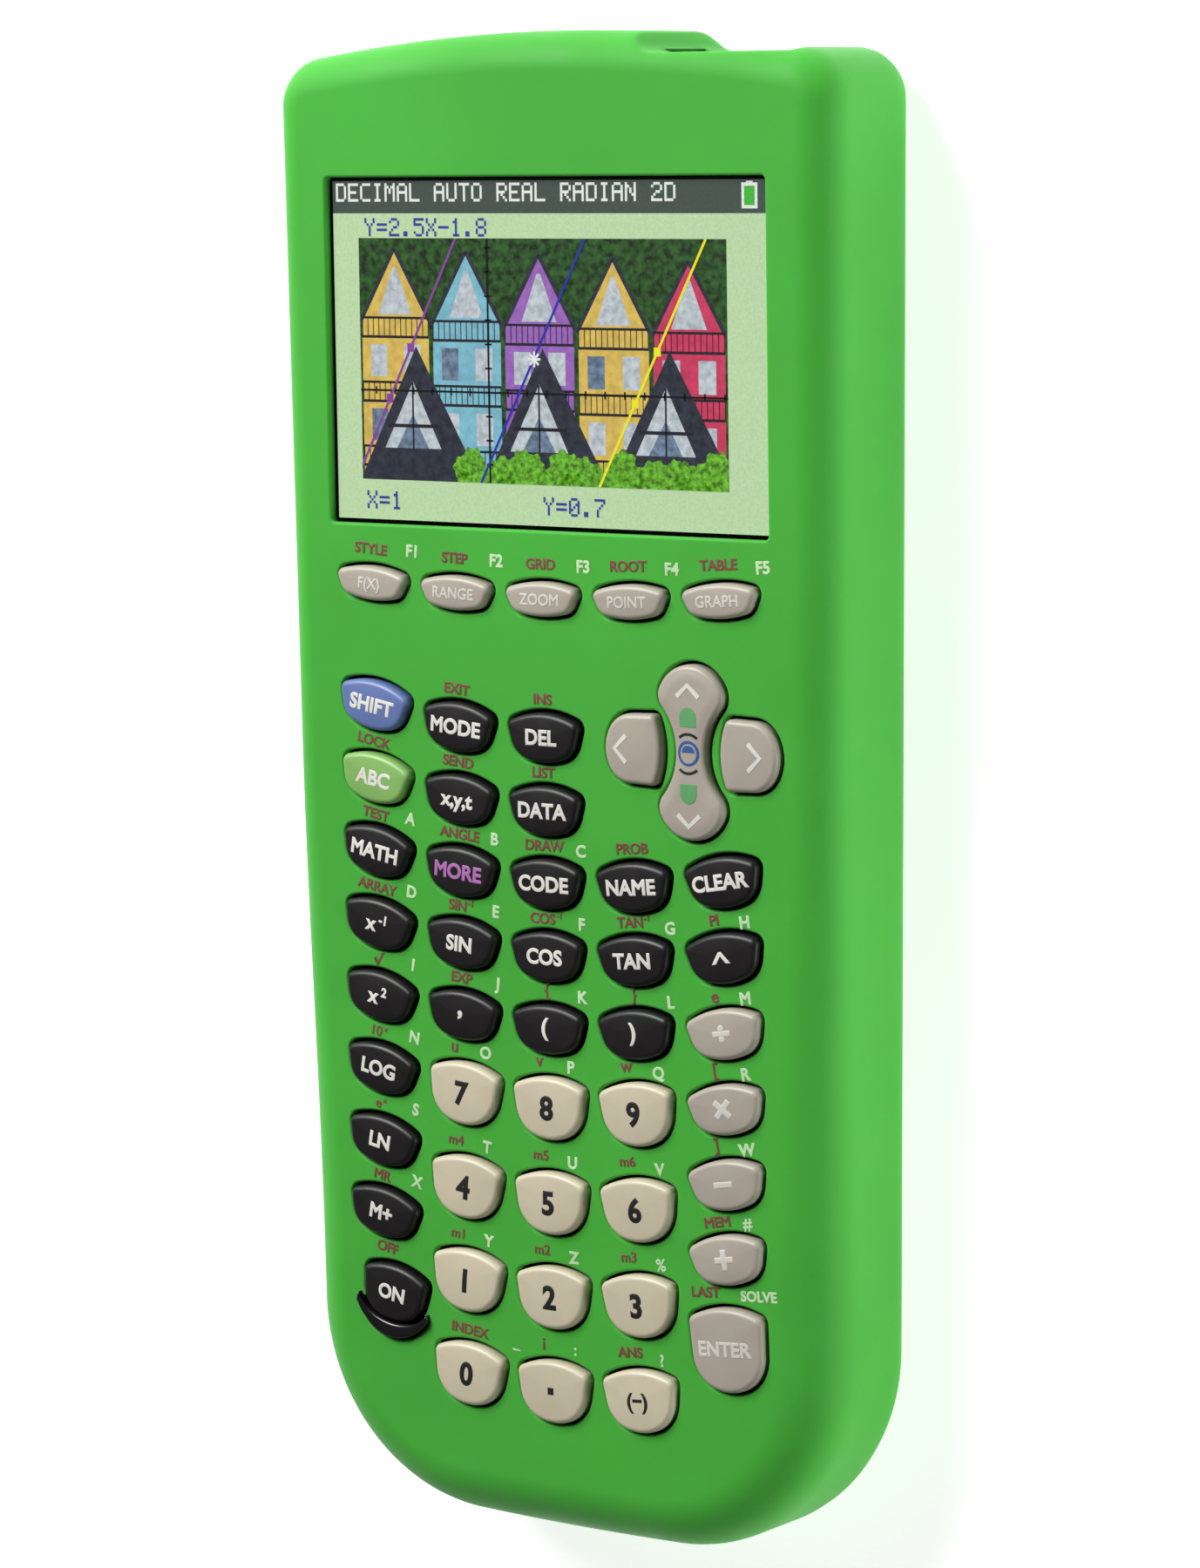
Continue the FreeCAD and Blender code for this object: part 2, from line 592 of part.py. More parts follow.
def make_sleeve():
    """The silicone sleeve: a soft shell with a lip round its open back."""
    body = new_body("silicone_sleeve")
    outer = pad(body, shield_sketch(body, "outline", BODY), FACE)
    front = round_face(body, outer, FACE, cell("sleeve_front_round"))
    round_face(body, front, NONE, cell("sleeve_back_round"))

    inset = CASE_INSET - cell("fit_gap")
    hollow_sketch = shield_sketch(body, "hollow", BODY, CASE_BACK, inset, CASE_DROP)
    ceiling = CASE_FACE + cell("fit_gap")
    hollow = pocket(body, hollow_sketch, ceiling - CASE_BACK, up=True)
    round_face(body, hollow, ceiling, cell("case_front_round"))

    opening = shield_sketch(body, "opening", BODY, NONE, cell("lip_width"), CASE_DROP)
    pocket(body, opening, CASE_BACK + PAST, up=True)

    middle, wide = cell("screen_middle"), cell("screen_half_wide")
    low = (-wide, middle - cell("screen_half_high"))
    high = (wide, middle + cell("screen_half_high"))
    screen = box_sketch(body, "screen", low, high, cell("screen_corner"), FACE)
    pocket(body, screen, cell("sleeve_skin") + PAST)

    holes = outline_sketch(body, "keys", hole_geometry(cell("sleeve_clearance")), FACE)
    pocket(body, holes, cell("sleeve_skin") + PAST)
    guard = outline_sketch(body, "guard", geometry(guard_edges(cell("sleeve_clearance"))), FACE)
    pocket(body, guard, cell("sleeve_skin") + PAST)

    notch = outline_sketch(body, "notch", notch_geometry(), FACE)
    pocket(body, notch, FACE + PAST)
    left = cell("usb_column") - cell("usb_half_wide") - cell("port_room")
    right = cell("jack_column") + cell("jack_radius") + cell("port_room")
    low = (left, cell("port_height") - cell("port_half_high"))
    high = (right, cell("port_height") + cell("port_half_high"))
    ports = box_sketch(body, "ports", low, high, cell("port_corner"), PORT_PLANE, "XZ_Plane")
    pocket(body, ports, cell("port_cut"), up=True)
    return body


def notch_geometry():
    """The scoop in the sleeve's top end: a flat floor between two curved flanks."""
    floor = cell("body_up").value - cell("notch_floor").value
    top = (cell("body_up") + PAST).value
    middle, half = cell("notch_middle").value, cell("notch_half").value
    flare = cell("notch_flare").value
    points = [
        Vector(middle - half - flare, top, 0),
        Vector(middle - half, floor, 0),
        Vector(middle + half, floor, 0),
        Vector(middle + half + flare, top, 0),
    ]
    # each flank is an arc that leaves the floor level
    rise = top - floor
    radius = (flare**2 + rise**2) / (2 * rise)
    left = (Vector(points[1].x, floor + radius, 0), radius, points[0], points[1])
    right = (Vector(points[2].x, floor + radius, 0), radius, points[2], points[3])
    return geometry([left, (points[1], points[2]), right, (points[3], points[0])])


# ---------------------------------------------------------------- case


SCREWS = [
    (-cell("screw_out"), cell("screw_up")),
    (cell("screw_out"), cell("screw_up")),
    (-cell("screw_side"), cell("screw_middle")),
    (cell("screw_side"), cell("screw_middle")),
    (-cell("screw_in"), cell("screw_down")),
    (cell("screw_in"), cell("screw_down")),
]


def guard_edges(clearance):
    """The crescent round the foot of the ON key: an outer arc and an inner one."""
    _, x, y, tilt = SPOTS["key_on"]
    spot = Placement(Vector(x.value, y.value, 0), Rotation(UP, tilt))
    half = cell("guard_half").value + clearance.value
    deep = cell("guard_depth").value + clearance.value
    thin = cell("guard_width").value + 2 * clearance.value
    rise = cell("guard_rise").value

    def bow(drop):
        """The arc through both tips that hangs down by drop."""
        radius = (half**2 + drop**2) / (2 * drop)
        return Vector(0, rise - drop + radius, 0), radius

    left, right = Vector(-half, rise, 0), Vector(half, rise, 0)
    outer, outer_r = bow(deep)
    inner, inner_r = bow(deep - thin)
    edges = [(outer, outer_r, left, right), (inner, -inner_r, right, left)]
    moved = []
    for centre, radius, start, end in edges:
        points = [spot.multVec(point) for point in (centre, start, end)]
        moved.append((points[0], radius, points[1], points[2]))
    return moved


def make_front_case():
    """The front half of the case, with screw bosses, key holes and the ON key's guard."""
    body = new_body("front_case")
    depth = CASE_FACE - cell("case_split")
    outline = shield_sketch(body, "outline", BODY, cell("case_split"), CASE_INSET, CASE_DROP)
    outer = pad(body, outline, depth)
    round_face(body, outer, CASE_FACE, cell("case_front_round"))
    inset = CASE_INSET + cell("case_wall")
    inner = shield_sketch(body, "hollow", BODY, cell("case_split"), inset, CASE_DROP)
    pocket(body, inner, depth - cell("case_wall"), up=True)

    bosses = circles_sketch(body, "bosses", SCREWS, cell("boss_radius"), cell("case_split"))
    pad(body, bosses, CASE_CEILING - cell("case_split") + SINK)
    pilots = circles_sketch(body, "pilots", SCREWS, cell("pilot_radius"), cell("case_split"))
    pocket(body, pilots, cell("shank_length"), up=True)

    seat = screen_sketch(body, "seat", cell("window_margin"), cell("seat_corner"), CASE_FACE)
    pocket(body, seat, cell("window_flange") + cell("fit_gap"))
    margin = cell("window_margin") - cell("seat_ledge")
    sight = screen_sketch(body, "sight", margin, cell("sight_corner"), CASE_FACE)
    pocket(body, sight, cell("case_wall") + PAST)

    holes = outline_sketch(body, "keys", hole_geometry(cell("case_clearance")), CASE_FACE)
    pocket(body, holes, cell("case_wall") + PAST)

    root = cell("guard_root")
    guard = outline_sketch(body, "guard", geometry(guard_edges(NONE)), CASE_FACE - root)
    pad(body, guard, cell("guard_height") + root)

    wide = cell("usb_half_wide") + cell("port_gap")
    high = cell("usb_half_high") + cell("port_gap")
    low_corner = (cell("usb_column") - wide, cell("port_height") - high)
    high_corner = (cell("usb_column") + wide, cell("port_height") + high)
    corner = cell("usb_corner")
    usb = box_sketch(body, "usb", low_corner, high_corner, corner, PORT_PLANE, "XZ_Plane")
    pocket(body, usb, cell("port_cut"), up=True)
    spot = [(cell("jack_column"), cell("port_height"))]
    radius = cell("jack_radius") + cell("port_gap")
    jack = circles_sketch(body, "jack", spot, radius, PORT_PLANE, "XZ_Plane")
    pocket(body, jack, cell("port_cut"), up=True)
    return body


def make_rear_case():
    """The rear half of the case, with the battery bay and the screw holes."""
    body = new_body("rear_case")
    outline = shield_sketch(body, "outline", BODY, CASE_BACK, CASE_INSET, CASE_DROP)
    outer = pad(body, outline, cell("case_split") - CASE_BACK)
    round_face(body, outer, CASE_BACK, cell("case_back_round"))
    inset = CASE_INSET + cell("case_wall")
    inner = shield_sketch(body, "hollow", BODY, CASE_FLOOR, inset, CASE_DROP)
    pocket(body, inner, cell("case_split") - CASE_FLOOR + PAST, up=True)

    bosses = circles_sketch(body, "bosses", SCREWS, cell("boss_radius"), CASE_FLOOR - SINK)
    pad(body, bosses, cell("case_split") - CASE_FLOOR + SINK)

    wall = bay_sketch(body, "walls", cell("bay_wall"), CASE_FLOOR - SINK)
    pad(body, wall, cell("bay_top") - CASE_FLOOR + SINK)
    bay = bay_sketch(body, "bay", NONE, CASE_BACK - PAST)
    pocket(body, bay, cell("bay_top") - CASE_BACK + PAST * 2, up=True)
    rebate = bay_sketch(body, "rebate", cell("cover_margin") + cell("cover_gap"), CASE_BACK)
    pocket(body, rebate, cell("cover_thick") + cell("cover_gap") * 0.5, up=True)

    radius = cell("shank_radius") + cell("screw_gap")
    shanks = circles_sketch(body, "shanks", SCREWS, radius, CASE_BACK)
    pocket(body, shanks, cell("case_split") - CASE_BACK + PAST, up=True)
    radius = cell("head_radius") + cell("screw_gap")
    heads = circles_sketch(body, "heads", SCREWS, radius, CASE_BACK)
    pocket(body, heads, cell("head_height") + cell("head_sink") + cell("screw_gap"), up=True)
    return body


def bay_sketch(body, name, margin, height):
    """A rectangle larger than the battery bay by a margin."""
    wide, high = cell("bay_half_wide") + margin, cell("bay_half_high") + margin
    low = (-wide, cell("bay_middle") - high)
    high = (wide, cell("bay_middle") + high)
    return box_sketch(body, name, low, high, cell("bay_corner"), height)


def make_battery_cover():
    """The battery door: a plate in the rebate and a plug inside the bay."""
    body = new_body("battery_cover")
    pad(body, bay_sketch(body, "plate", cell("cover_margin"), CASE_BACK), cell("cover_thick"))
    plug_height = CASE_BACK + cell("cover_thick") - SINK
    plug = pad(body, bay_sketch(body, "plug", -cell("cover_gap"), plug_height), cell("plug_thick"))
    round_face(body, plug, CASE_BACK, cell("cover_round"))
    return body


# ---------------------------------------------------------------- display


def screen_sketch(body, name, margin, corner, height):
    """A rectangle larger than the sleeve's display opening by a margin."""
    wide = cell("screen_half_wide") + margin
    high = cell("screen_half_high") + margin
    low = (-wide, cell("screen_middle") - high)
    high = (wide, cell("screen_middle") + high)
    return box_sketch(body, name, low, high, corner, height)


def make_display_window():
    """The clear window: a flange in the case's face, raised inside the sleeve's opening."""
    body = new_body("display_window")
    gap, foot = cell("window_gap"), CASE_FACE - cell("window_flange")
    margin, corner = cell("window_margin") - gap, cell("seat_corner") - gap
    pad(body, screen_sketch(body, "flange", margin, corner, foot), cell("window_flange"))
    raised = screen_sketch(body, "raised", -gap, cell("screen_corner"), foot)
    pad(body, raised, FACE - cell("window_sink") - foot)
    # hollow from below, so that the panel's glass comes close to the top
    hollow = screen_sketch(body, "hollow", -cell("lcd_rim") + gap, cell("screen_corner"), foot)
    pocket(body, hollow, FACE - cell("window_sink") - cell("window_skin") - foot, up=True)
    return body


def make_lcd_module():
    """The display panel: a base under the case's face and the glass inside the window."""
    body = new_body("lcd_module")
    foot = CASE_CEILING - cell("lcd_gap") - cell("lcd_thick")
    corner = cell("sight_corner")
    pad(body, screen_sketch(body, "base", cell("lcd_margin"), corner, foot), cell("lcd_thick"))
    top = FACE - cell("window_sink") - cell("window_skin") - cell("lcd_gap")
    glass = screen_sketch(body, "glass", -cell("lcd_rim"), cell("screen_corner"), foot)
    pad(body, glass, top - foot)
    return body


# ---------------------------------------------------------------- keys


def put(body, x, y, tilt=0.0):
    """Place a body on the keypad."""
    body.Placement = Placement(Vector(x.value, y.value, 0), Rotation(UP, tilt))
    body.setExpression("Placement.Base.x", x.words)
    body.setExpression("Placement.Base.y", y.words)


def make_key(label, kind, x, y, tilt):
    """A key cap with the flange that keeps it under the case's face."""
    body = new_body(label)
    foot = cell("key_foot")
    pad(body, shield_sketch(body, "cap", CAPS[kind], foot), cell("key_top") - foot)
    flange = shield_sketch(body, "flange", CAPS[kind], foot, -cell("key_flange"))
    whole = pad(body, flange, cell("flange_thick"))
    round_face(body, whole, cell("key_top"), cell("cap_round"))
    put(body, x, y, tilt)
    return body


def make_rocker():
    """The up and down key: a dumbbell that rocks on a ridge under its waist."""
    body = new_body("arrow_rocker")
    foot = cell("rocker_foot")
    pad(body, outline_sketch(body, "cap", geometry(rocker_edges()), foot), cell("key_top") - foot)
    wide, long = cell("tab_half_wide"), cell("tab_half_long")
    tabs = box_sketch(body, "tabs", (-wide, -long), (wide, long), cell("tab_corner"), foot)
    pad(body, tabs, CASE_CEILING - foot - cell("tab_gap"))
    spot = [(NONE, cell("pivot_height"))]
    half = cell("pivot_length") * 0.5
    ridge = circles_sketch(body, "ridge", spot, cell("pivot_radius"), -half, "YZ_Plane")
    whole = pad(body, ridge, cell("pivot_length"))
    round_face(body, whole, cell("key_top"), cell("cap_round"))
    put(body, cell("arrow_column"), cell("arrow_row"))
    return body


# ---------------------------------------------------------------- inside


def make_keypad_mat():
    """The rubber sheet with a dome under every key, and two under the rocker."""
    body = new_body("keypad_mat")
    half = cell("mat_half")
    low, high = (-half, cell("mat_down")), (half, cell("mat_up"))
    outline = box_sketch(body, "outline", low, high, cell("mat_corner"), cell("mat_floor"))
    pad(body, outline, cell("mat_sheet"))
    spots = [(x, y) for _, x, y, _ in SPOTS.values()]
    for side in (-1, 1):
        spots.append((cell("arrow_column"), cell("arrow_row") + cell("shoulder_up") * side))
    sheet_top = cell("mat_floor") + cell("mat_sheet")
    domes = circles_sketch(body, "domes", spots, cell("dome_radius"), sheet_top)
    pad(body, domes, cell("dome_top") - sheet_top)
    radius = cell("boss_radius") + cell("boss_gap")
    holes = circles_sketch(body, "holes", SCREWS[2:4], radius, cell("mat_floor"))
    pocket(body, holes, cell("mat_sheet") + PAST, up=True)
    return body


# the chips: middle x and y, half width, half height and thickness
CHIPS = {
    "processor": (-20.0, 56.0, 7.0, 7.0, 1.3),
    "memory": (2.0, 54.0, 6.0, 4.0, 1.1),
    "charger": (24.0, 62.0, 2.5, 2.5, 0.9),
    "clock": (-4.0, 34.0, 2.6, 1.6, 0.8),
}
CHIP_CORNER = Size(0.3)


def make_main_board():
    """The circuit board, notched round the screw bosses, with its chips on the underside."""
    body = new_body("main_board")
    inset = CASE_INSET + cell("case_wall") + cell("board_gap")
    floor = cell("board_top") - cell("board_thick")
    outline = shield_sketch(body, "outline", BODY, floor, inset, CASE_DROP)
    pad(body, outline, cell("board_thick"))
    notches = circles_sketch(body, "notches", SCREWS, cell("boss_radius") + cell("boss_gap"), floor)
    pocket(body, notches, cell("board_thick") + PAST, up=True)
    for name, (x, y, half_wide, half_high, thick) in CHIPS.items():
        low = (Size(x - half_wide), Size(y - half_high))
        high = (Size(x + half_wide), Size(y + half_high))
        chip = box_sketch(body, name, low, high, CHIP_CORNER, floor)
        pad(body, chip, Size(thick), down=True)
    return body


def make_battery_pack():
    """The rechargeable cell in its bay."""
    body = new_body("battery_pack")
    sketch = bay_sketch(body, "outline", -cell("pack_gap"), cell("pack_foot"))
    block = pad(body, sketch, cell("pack_top") - cell("pack_foot"))
    round_face(body, block, cell("pack_top"), cell("pack_round"))
    return body


def solid_box(name, low, high):
    """A Part box between two corners, given as sizes."""
    box = doc.addObject("Part::Box", name)
    for number, (axis, side) in enumerate((("x", "Length"), ("y", "Width"), ("z", "Height"))):
        box.setExpression(f"Placement.Base.{axis}", as_size(low[number]).words)
        box.setExpression(side, (as_size(high[number]) - low[number]).words)
    return box


def solid_rod(name, x, y, z, radius, length, turn=None):
    """A Part cylinder that stands on (x, y, z), or is turned from there."""
    rod = doc.addObject("Part::Cylinder", name)
    rod.Placement = Placement(Vector(), turn or Rotation())
    for axis, place in (("x", x), ("y", y), ("z", z)):
        rod.setExpression(f"Placement.Base.{axis}", as_size(place).words)
    rod.setExpression("Radius", as_size(radius).words)
    rod.setExpression("Height", as_size(length).words)
    return rod


def boolean(kind, name, base, tool):
    """A Part::Cut or Part::Fuse of two objects."""
    made = doc.addObject(f"Part::{kind}", name)
    made.Base = base
    made.Tool = tool
    return made


def group(label, pieces):
    """Separate solids that share one node."""
    made = doc.addObject("Part::Compound", label)
    made.Label = label
    made.Links = pieces
    return made


def make_case_screws():
    """Six screws that come up through the rear case into the front case's bosses."""
    pieces = []
    foot = CASE_BACK + cell("head_sink")
    shank_foot = foot + cell("head_height") - SINK
    for number, (x, y) in enumerate(SCREWS, start=1):
        head = solid_rod(f"head_{number}", x, y, foot, cell("head_radius"), cell("head_height"))
        length = cell("shank_length")
        shank = solid_rod(f"shank_{number}", x, y, shank_foot, cell("shank_radius"), length)
        socket = doc.addObject("Part::Prism", f"socket_{number}")
        socket.Polygon = 6
        socket.setExpression("Circumradius", cell("socket_radius").words)
        socket.setExpression("Height", (cell("socket_depth") + SINK).words)
        for axis, place in (("x", x), ("y", y), ("z", foot - SINK)):
            socket.setExpression(f"Placement.Base.{axis}", place.words)
        whole = boolean("Fuse", f"blank_{number}", head, shank)
        pieces.append(boolean("Cut", f"screw_{number}", whole, socket))
    return group("case_screws", pieces)


def make_usb_socket():
    """A plated shell with a tongue inside its mouth."""
    x, z, face = cell("usb_column"), cell("port_height"), cell("port_face")
    wide, high = cell("usb_half_wide"), cell("usb_half_high")
    back, metal = face - cell("usb_length"), cell("usb_metal")
    shell = solid_box("usb_shell", (x - wide, back, z - high), (x + wide, face, z + high))
    low = (x - wide + metal, back + cell("usb_back"), z - high + metal)
    hollow = solid_box("usb_hollow", low, (x + wide - metal, face + PAST, z + high - metal))
    shell = boolean("Cut", "usb_mouth", shell, hollow)
    wide, high = cell("tongue_half_wide"), cell("tongue_half_high")
    low = (x - wide, back + SINK, z - high)
    tongue = solid_box("usb_tongue", low, (x + wide, face - cell("tongue_sink"), z + high))
    return boolean("Fuse", "usb_socket", shell, tongue)


def make_link_jack():
    """A block with a round barrel, bored for a 2.5 mm plug."""
    x, z, face = cell("jack_column"), cell("port_height"), cell("port_face")
    radius, length = cell("jack_radius"), cell("jack_length")
    forward = Rotation(Vector(1, 0, 0), -90)
    barrel = solid_rod("jack_barrel", x, face - length, z, radius, length, forward)
    wide = cell("jack_half_wide")
    low = (x - wide, face - length, z - radius)
    block = solid_box("jack_block", low, (x + wide, face - cell("jack_nose"), z + radius))
    whole = boolean("Fuse", "jack_body", block, barrel)
    back = face - length + cell("jack_back")
    bore = solid_rod("jack_hole", x, back, z, cell("jack_bore"), length, forward)
    return boolean("Cut", "link_jack", whole, bore)


def make_port_connectors():
    """The USB socket and the link jack, side by side in the top end."""
    return group("port_connectors", [make_usb_socket(), make_link_jack()])


# ---------------------------------------------------------------- build, check and write


parts = [
    make_sleeve(),
    make_front_case(),
    make_rear_case(),
    make_battery_cover(),
    make_display_window(),
    make_lcd_module(),
    make_keypad_mat(),
    make_main_board(),
    make_battery_pack(),
    make_case_screws(),
    make_port_connectors(),
    make_rocker(),
]
for node, (kind, x, y, tilt) in SPOTS.items():
    parts.append(make_key(node, kind, x, y, tilt))
doc.recompute()

for item in doc.Objects:
    if "Invalid" in item.State or "Error" in item.State:
        raise RuntimeError(f"{item.Label} didn't build: {item.State}")
for part in parts:
    if part.Shape.isNull() or not part.Shape.isValid() or not part.Shape.Solids:
        raise RuntimeError(f"{part.Label} has no valid shape")

os.makedirs("parts", exist_ok=True)
for part in parts:
    part.Shape.exportStep(f"parts/{part.Label}.step")
    print(f"{part.Label}: {len(part.Shape.Solids)} solid(s), {part.Shape.Volume:.1f} mm3")
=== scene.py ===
"""Looks for the graphing calculator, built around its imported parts. Metres, in the parts' frame."""

from math import atan, atan2, ceil, copysign, cos, exp, log, pi, radians, sin, sqrt, tau

import bmesh
import bpy
from mathutils import Matrix, Vector
from mathutils.geometry import delaunay_2d_cdt


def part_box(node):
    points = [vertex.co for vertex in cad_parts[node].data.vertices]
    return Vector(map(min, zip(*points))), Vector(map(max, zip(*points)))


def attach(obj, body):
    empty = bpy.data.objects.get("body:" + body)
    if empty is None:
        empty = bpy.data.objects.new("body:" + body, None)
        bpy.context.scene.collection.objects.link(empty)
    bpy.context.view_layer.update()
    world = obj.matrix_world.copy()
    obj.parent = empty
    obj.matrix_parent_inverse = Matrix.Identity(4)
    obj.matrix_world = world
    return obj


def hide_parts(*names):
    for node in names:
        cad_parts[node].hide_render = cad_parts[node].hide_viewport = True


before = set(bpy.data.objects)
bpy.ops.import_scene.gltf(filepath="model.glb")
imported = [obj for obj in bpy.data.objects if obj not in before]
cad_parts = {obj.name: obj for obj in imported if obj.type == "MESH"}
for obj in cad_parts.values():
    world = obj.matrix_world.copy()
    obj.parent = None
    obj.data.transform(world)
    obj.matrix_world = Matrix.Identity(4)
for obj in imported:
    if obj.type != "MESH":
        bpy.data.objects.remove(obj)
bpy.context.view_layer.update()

# Shapes are given in millimetres. Boxes from the frame, bump depths, lights and camera are in metres.
MM = 0.001
COLLECTION = bpy.context.scene.collection

# ---- places read from the frame

# how far the window's underside lies under the front case's top
WINDOW_SUNK = 0.55
SLEEVE_LOW, SLEEVE_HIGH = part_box("silicone_sleeve")
CASE_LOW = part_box("rear_case")[0]
LCD_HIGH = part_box("lcd_module")[1]
CASE_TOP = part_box("display_window")[0].z + WINDOW_SUNK * MM
FACE = SLEEVE_HIGH.z
KEY_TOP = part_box("key_5")[1].z


def middle_of(node):
    low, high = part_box(node)
    return (low + high) / 2


PITCH = middle_of("key_6").x - middle_of("key_5").x


# ---- outlines


def arc(centre, radius, start, end, steps):
    """Points along an arc in the plane, with both ends. Angles in radians, clockwise if end < start."""
    turns = (start + (end - start) * step / steps for step in range(steps + 1))
    return [Vector((centre[0] + radius * cos(a), centre[1] + radius * sin(a))) for a in turns]


def loop_of(*pairs):
    """A loop through points given as pairs of numbers."""
    return [Vector(pair) for pair in pairs]


def quarter(radius, steps, first=0):
    """Two measures of a quarter circle at each step: the first grows to the radius as the other shrinks."""
    turns = [pi / 2 * step / steps for step in range(first, steps + 1)]
    return [(radius * (1 - cos(turn)), radius * (1 - sin(turn))) for turn in turns]


class Shield:
    """The outline that the sleeve and the key caps share, in millimetres.

    It has an arched top, two top corners, slanted sides, two bottom corners and an arched bottom.
    """

    def __init__(self, half_top, half_bottom, up, down, *radii):
        self.half_top, self.half_bottom = half_top, half_bottom
        self.up, self.down = up, down
        self.corner_top, self.corner_bottom, self.arch_top, self.arch_bottom = radii

    def circles(self):
        """The centres of the right top corner, right bottom corner, top arch and bottom arch."""
        top_x = self.half_top - self.corner_top
        bottom_x = self.half_bottom - self.corner_bottom
        head = Vector((0, self.up - self.arch_top))
        foot = Vector((0, self.arch_bottom - self.down))
        top = Vector((top_x, head.y + sqrt((self.arch_top - self.corner_top) ** 2 - top_x**2)))
        fall = sqrt((self.arch_bottom - self.corner_bottom) ** 2 - bottom_x**2)
        return top, Vector((bottom_x, foot.y - fall)), head, foot

    def points(self, inset=0.0, density=1.0):
        """The outline moved inwards by inset, anticlockwise from the middle of the bottom arch."""
        top, bottom, head, foot = self.circles()
        along = (bottom - top).normalized()
        lean = (self.corner_top - self.corner_bottom) / (bottom - top).length
        out = along * lean + Vector((-along.y, along.x)) * sqrt(1 - lean**2)
        side = atan2(out.y, out.x)
        head_turn = atan2(top.y - head.y, top.x - head.x)
        foot_turn = atan2(bottom.y - foot.y, bottom.x - foot.x)

        few, some, many = (max(2, round(number * density)) for number in (6, 8, 10))
        right = arc(foot, self.arch_bottom - inset, -pi / 2, foot_turn, some)
        right += arc(bottom, self.corner_bottom - inset, foot_turn, side, many)[1:]
        low, high = right[-1], top + out * (self.corner_top - inset)
        right += [low.lerp(high, step / many) for step in range(1, many)]
        right += arc(top, self.corner_top - inset, side, head_turn, few)
        right += arc(head, self.arch_top - inset, head_turn, pi / 2, some)[1:]
        left = [Vector((-p.x, p.y)) for p in reversed(right[1:-1])]
        return right + left


CAPS = {
    "menu": Shield(5.6, 5.2, 2.2, 2.3, 0.9, 2.1, 18.0, 16.0),
    "function": Shield(5.65, 5.3, 3.1, 3.4, 1.0, 3.3, 13.0, 9.5),
    "digit": Shield(5.7, 5.4, 3.9, 4.4, 1.0, 4.6, 13.0, 7.2),
    "on": Shield(5.3, 5.0, 3.6, 3.9, 0.9, 3.6, 12.0, 7.5),
    "enter": Shield(5.7, 5.5, 5.2, 5.8, 1.0, 5.0, 13.0, 6.4),
    "arrow": Shield(4.6, 4.5, 4.4, 4.4, 1.0, 3.8, 11.0, 5.2),
}


# ---- mesh helpers


def added(name, data):
    """An object in the scene that shows a mesh, letters, a light or a camera."""
    thing = bpy.data.objects.new(name, data)
    COLLECTION.objects.link(thing)
    return thing


def offset_loop(points, distance):
    """A closed anticlockwise loop moved outwards by distance along its own normals."""
    moved = []
    for index, point in enumerate(points):
        before, after = points[index - 1], points[(index + 1) % len(points)]
        along = (after - before).normalized()
        moved.append(point + Vector((along.y, -along.x)) * distance)
    return moved


def inside(point, loop):
    """True if a point lies inside a closed loop."""
    hit = False
    for index, a in enumerate(loop):
        b = loop[index - 1]
        if (a.y > point.y) != (b.y > point.y):
            if point.x < (b.x - a.x) * (point.y - a.y) / (b.y - a.y) + a.x:
                hit = not hit
    return hit


def sheet_triangles(outer, holes):
    """Triangles that fill the outer loop but not the holes. Returns triples over all the points in turn."""
    points, edges, owner = [], [], []
    for number, loop in enumerate([outer, *holes]):
        first = len(points)
        points += loop
        owner += [number] * len(loop)
        edges += [(first + k, first + (k + 1) % len(loop)) for k in range(len(loop))]
    made, _, faces, origins, _, _ = delaunay_2d_cdt(points, edges, [], 1, 1e-7)
    source = [origin[0] for origin in origins]
    kept = []
    for face in faces:
        corners = [source[index] for index in face]
        owners = {owner[index] for index in corners}
        if len(owners) == 1 and owners != {0}:
            centre = sum((points[index] for index in corners), Vector((0, 0))) / 3
            if inside(centre, holes[owners.pop() - 1]):
                continue
        kept.append(corners)
    return kept


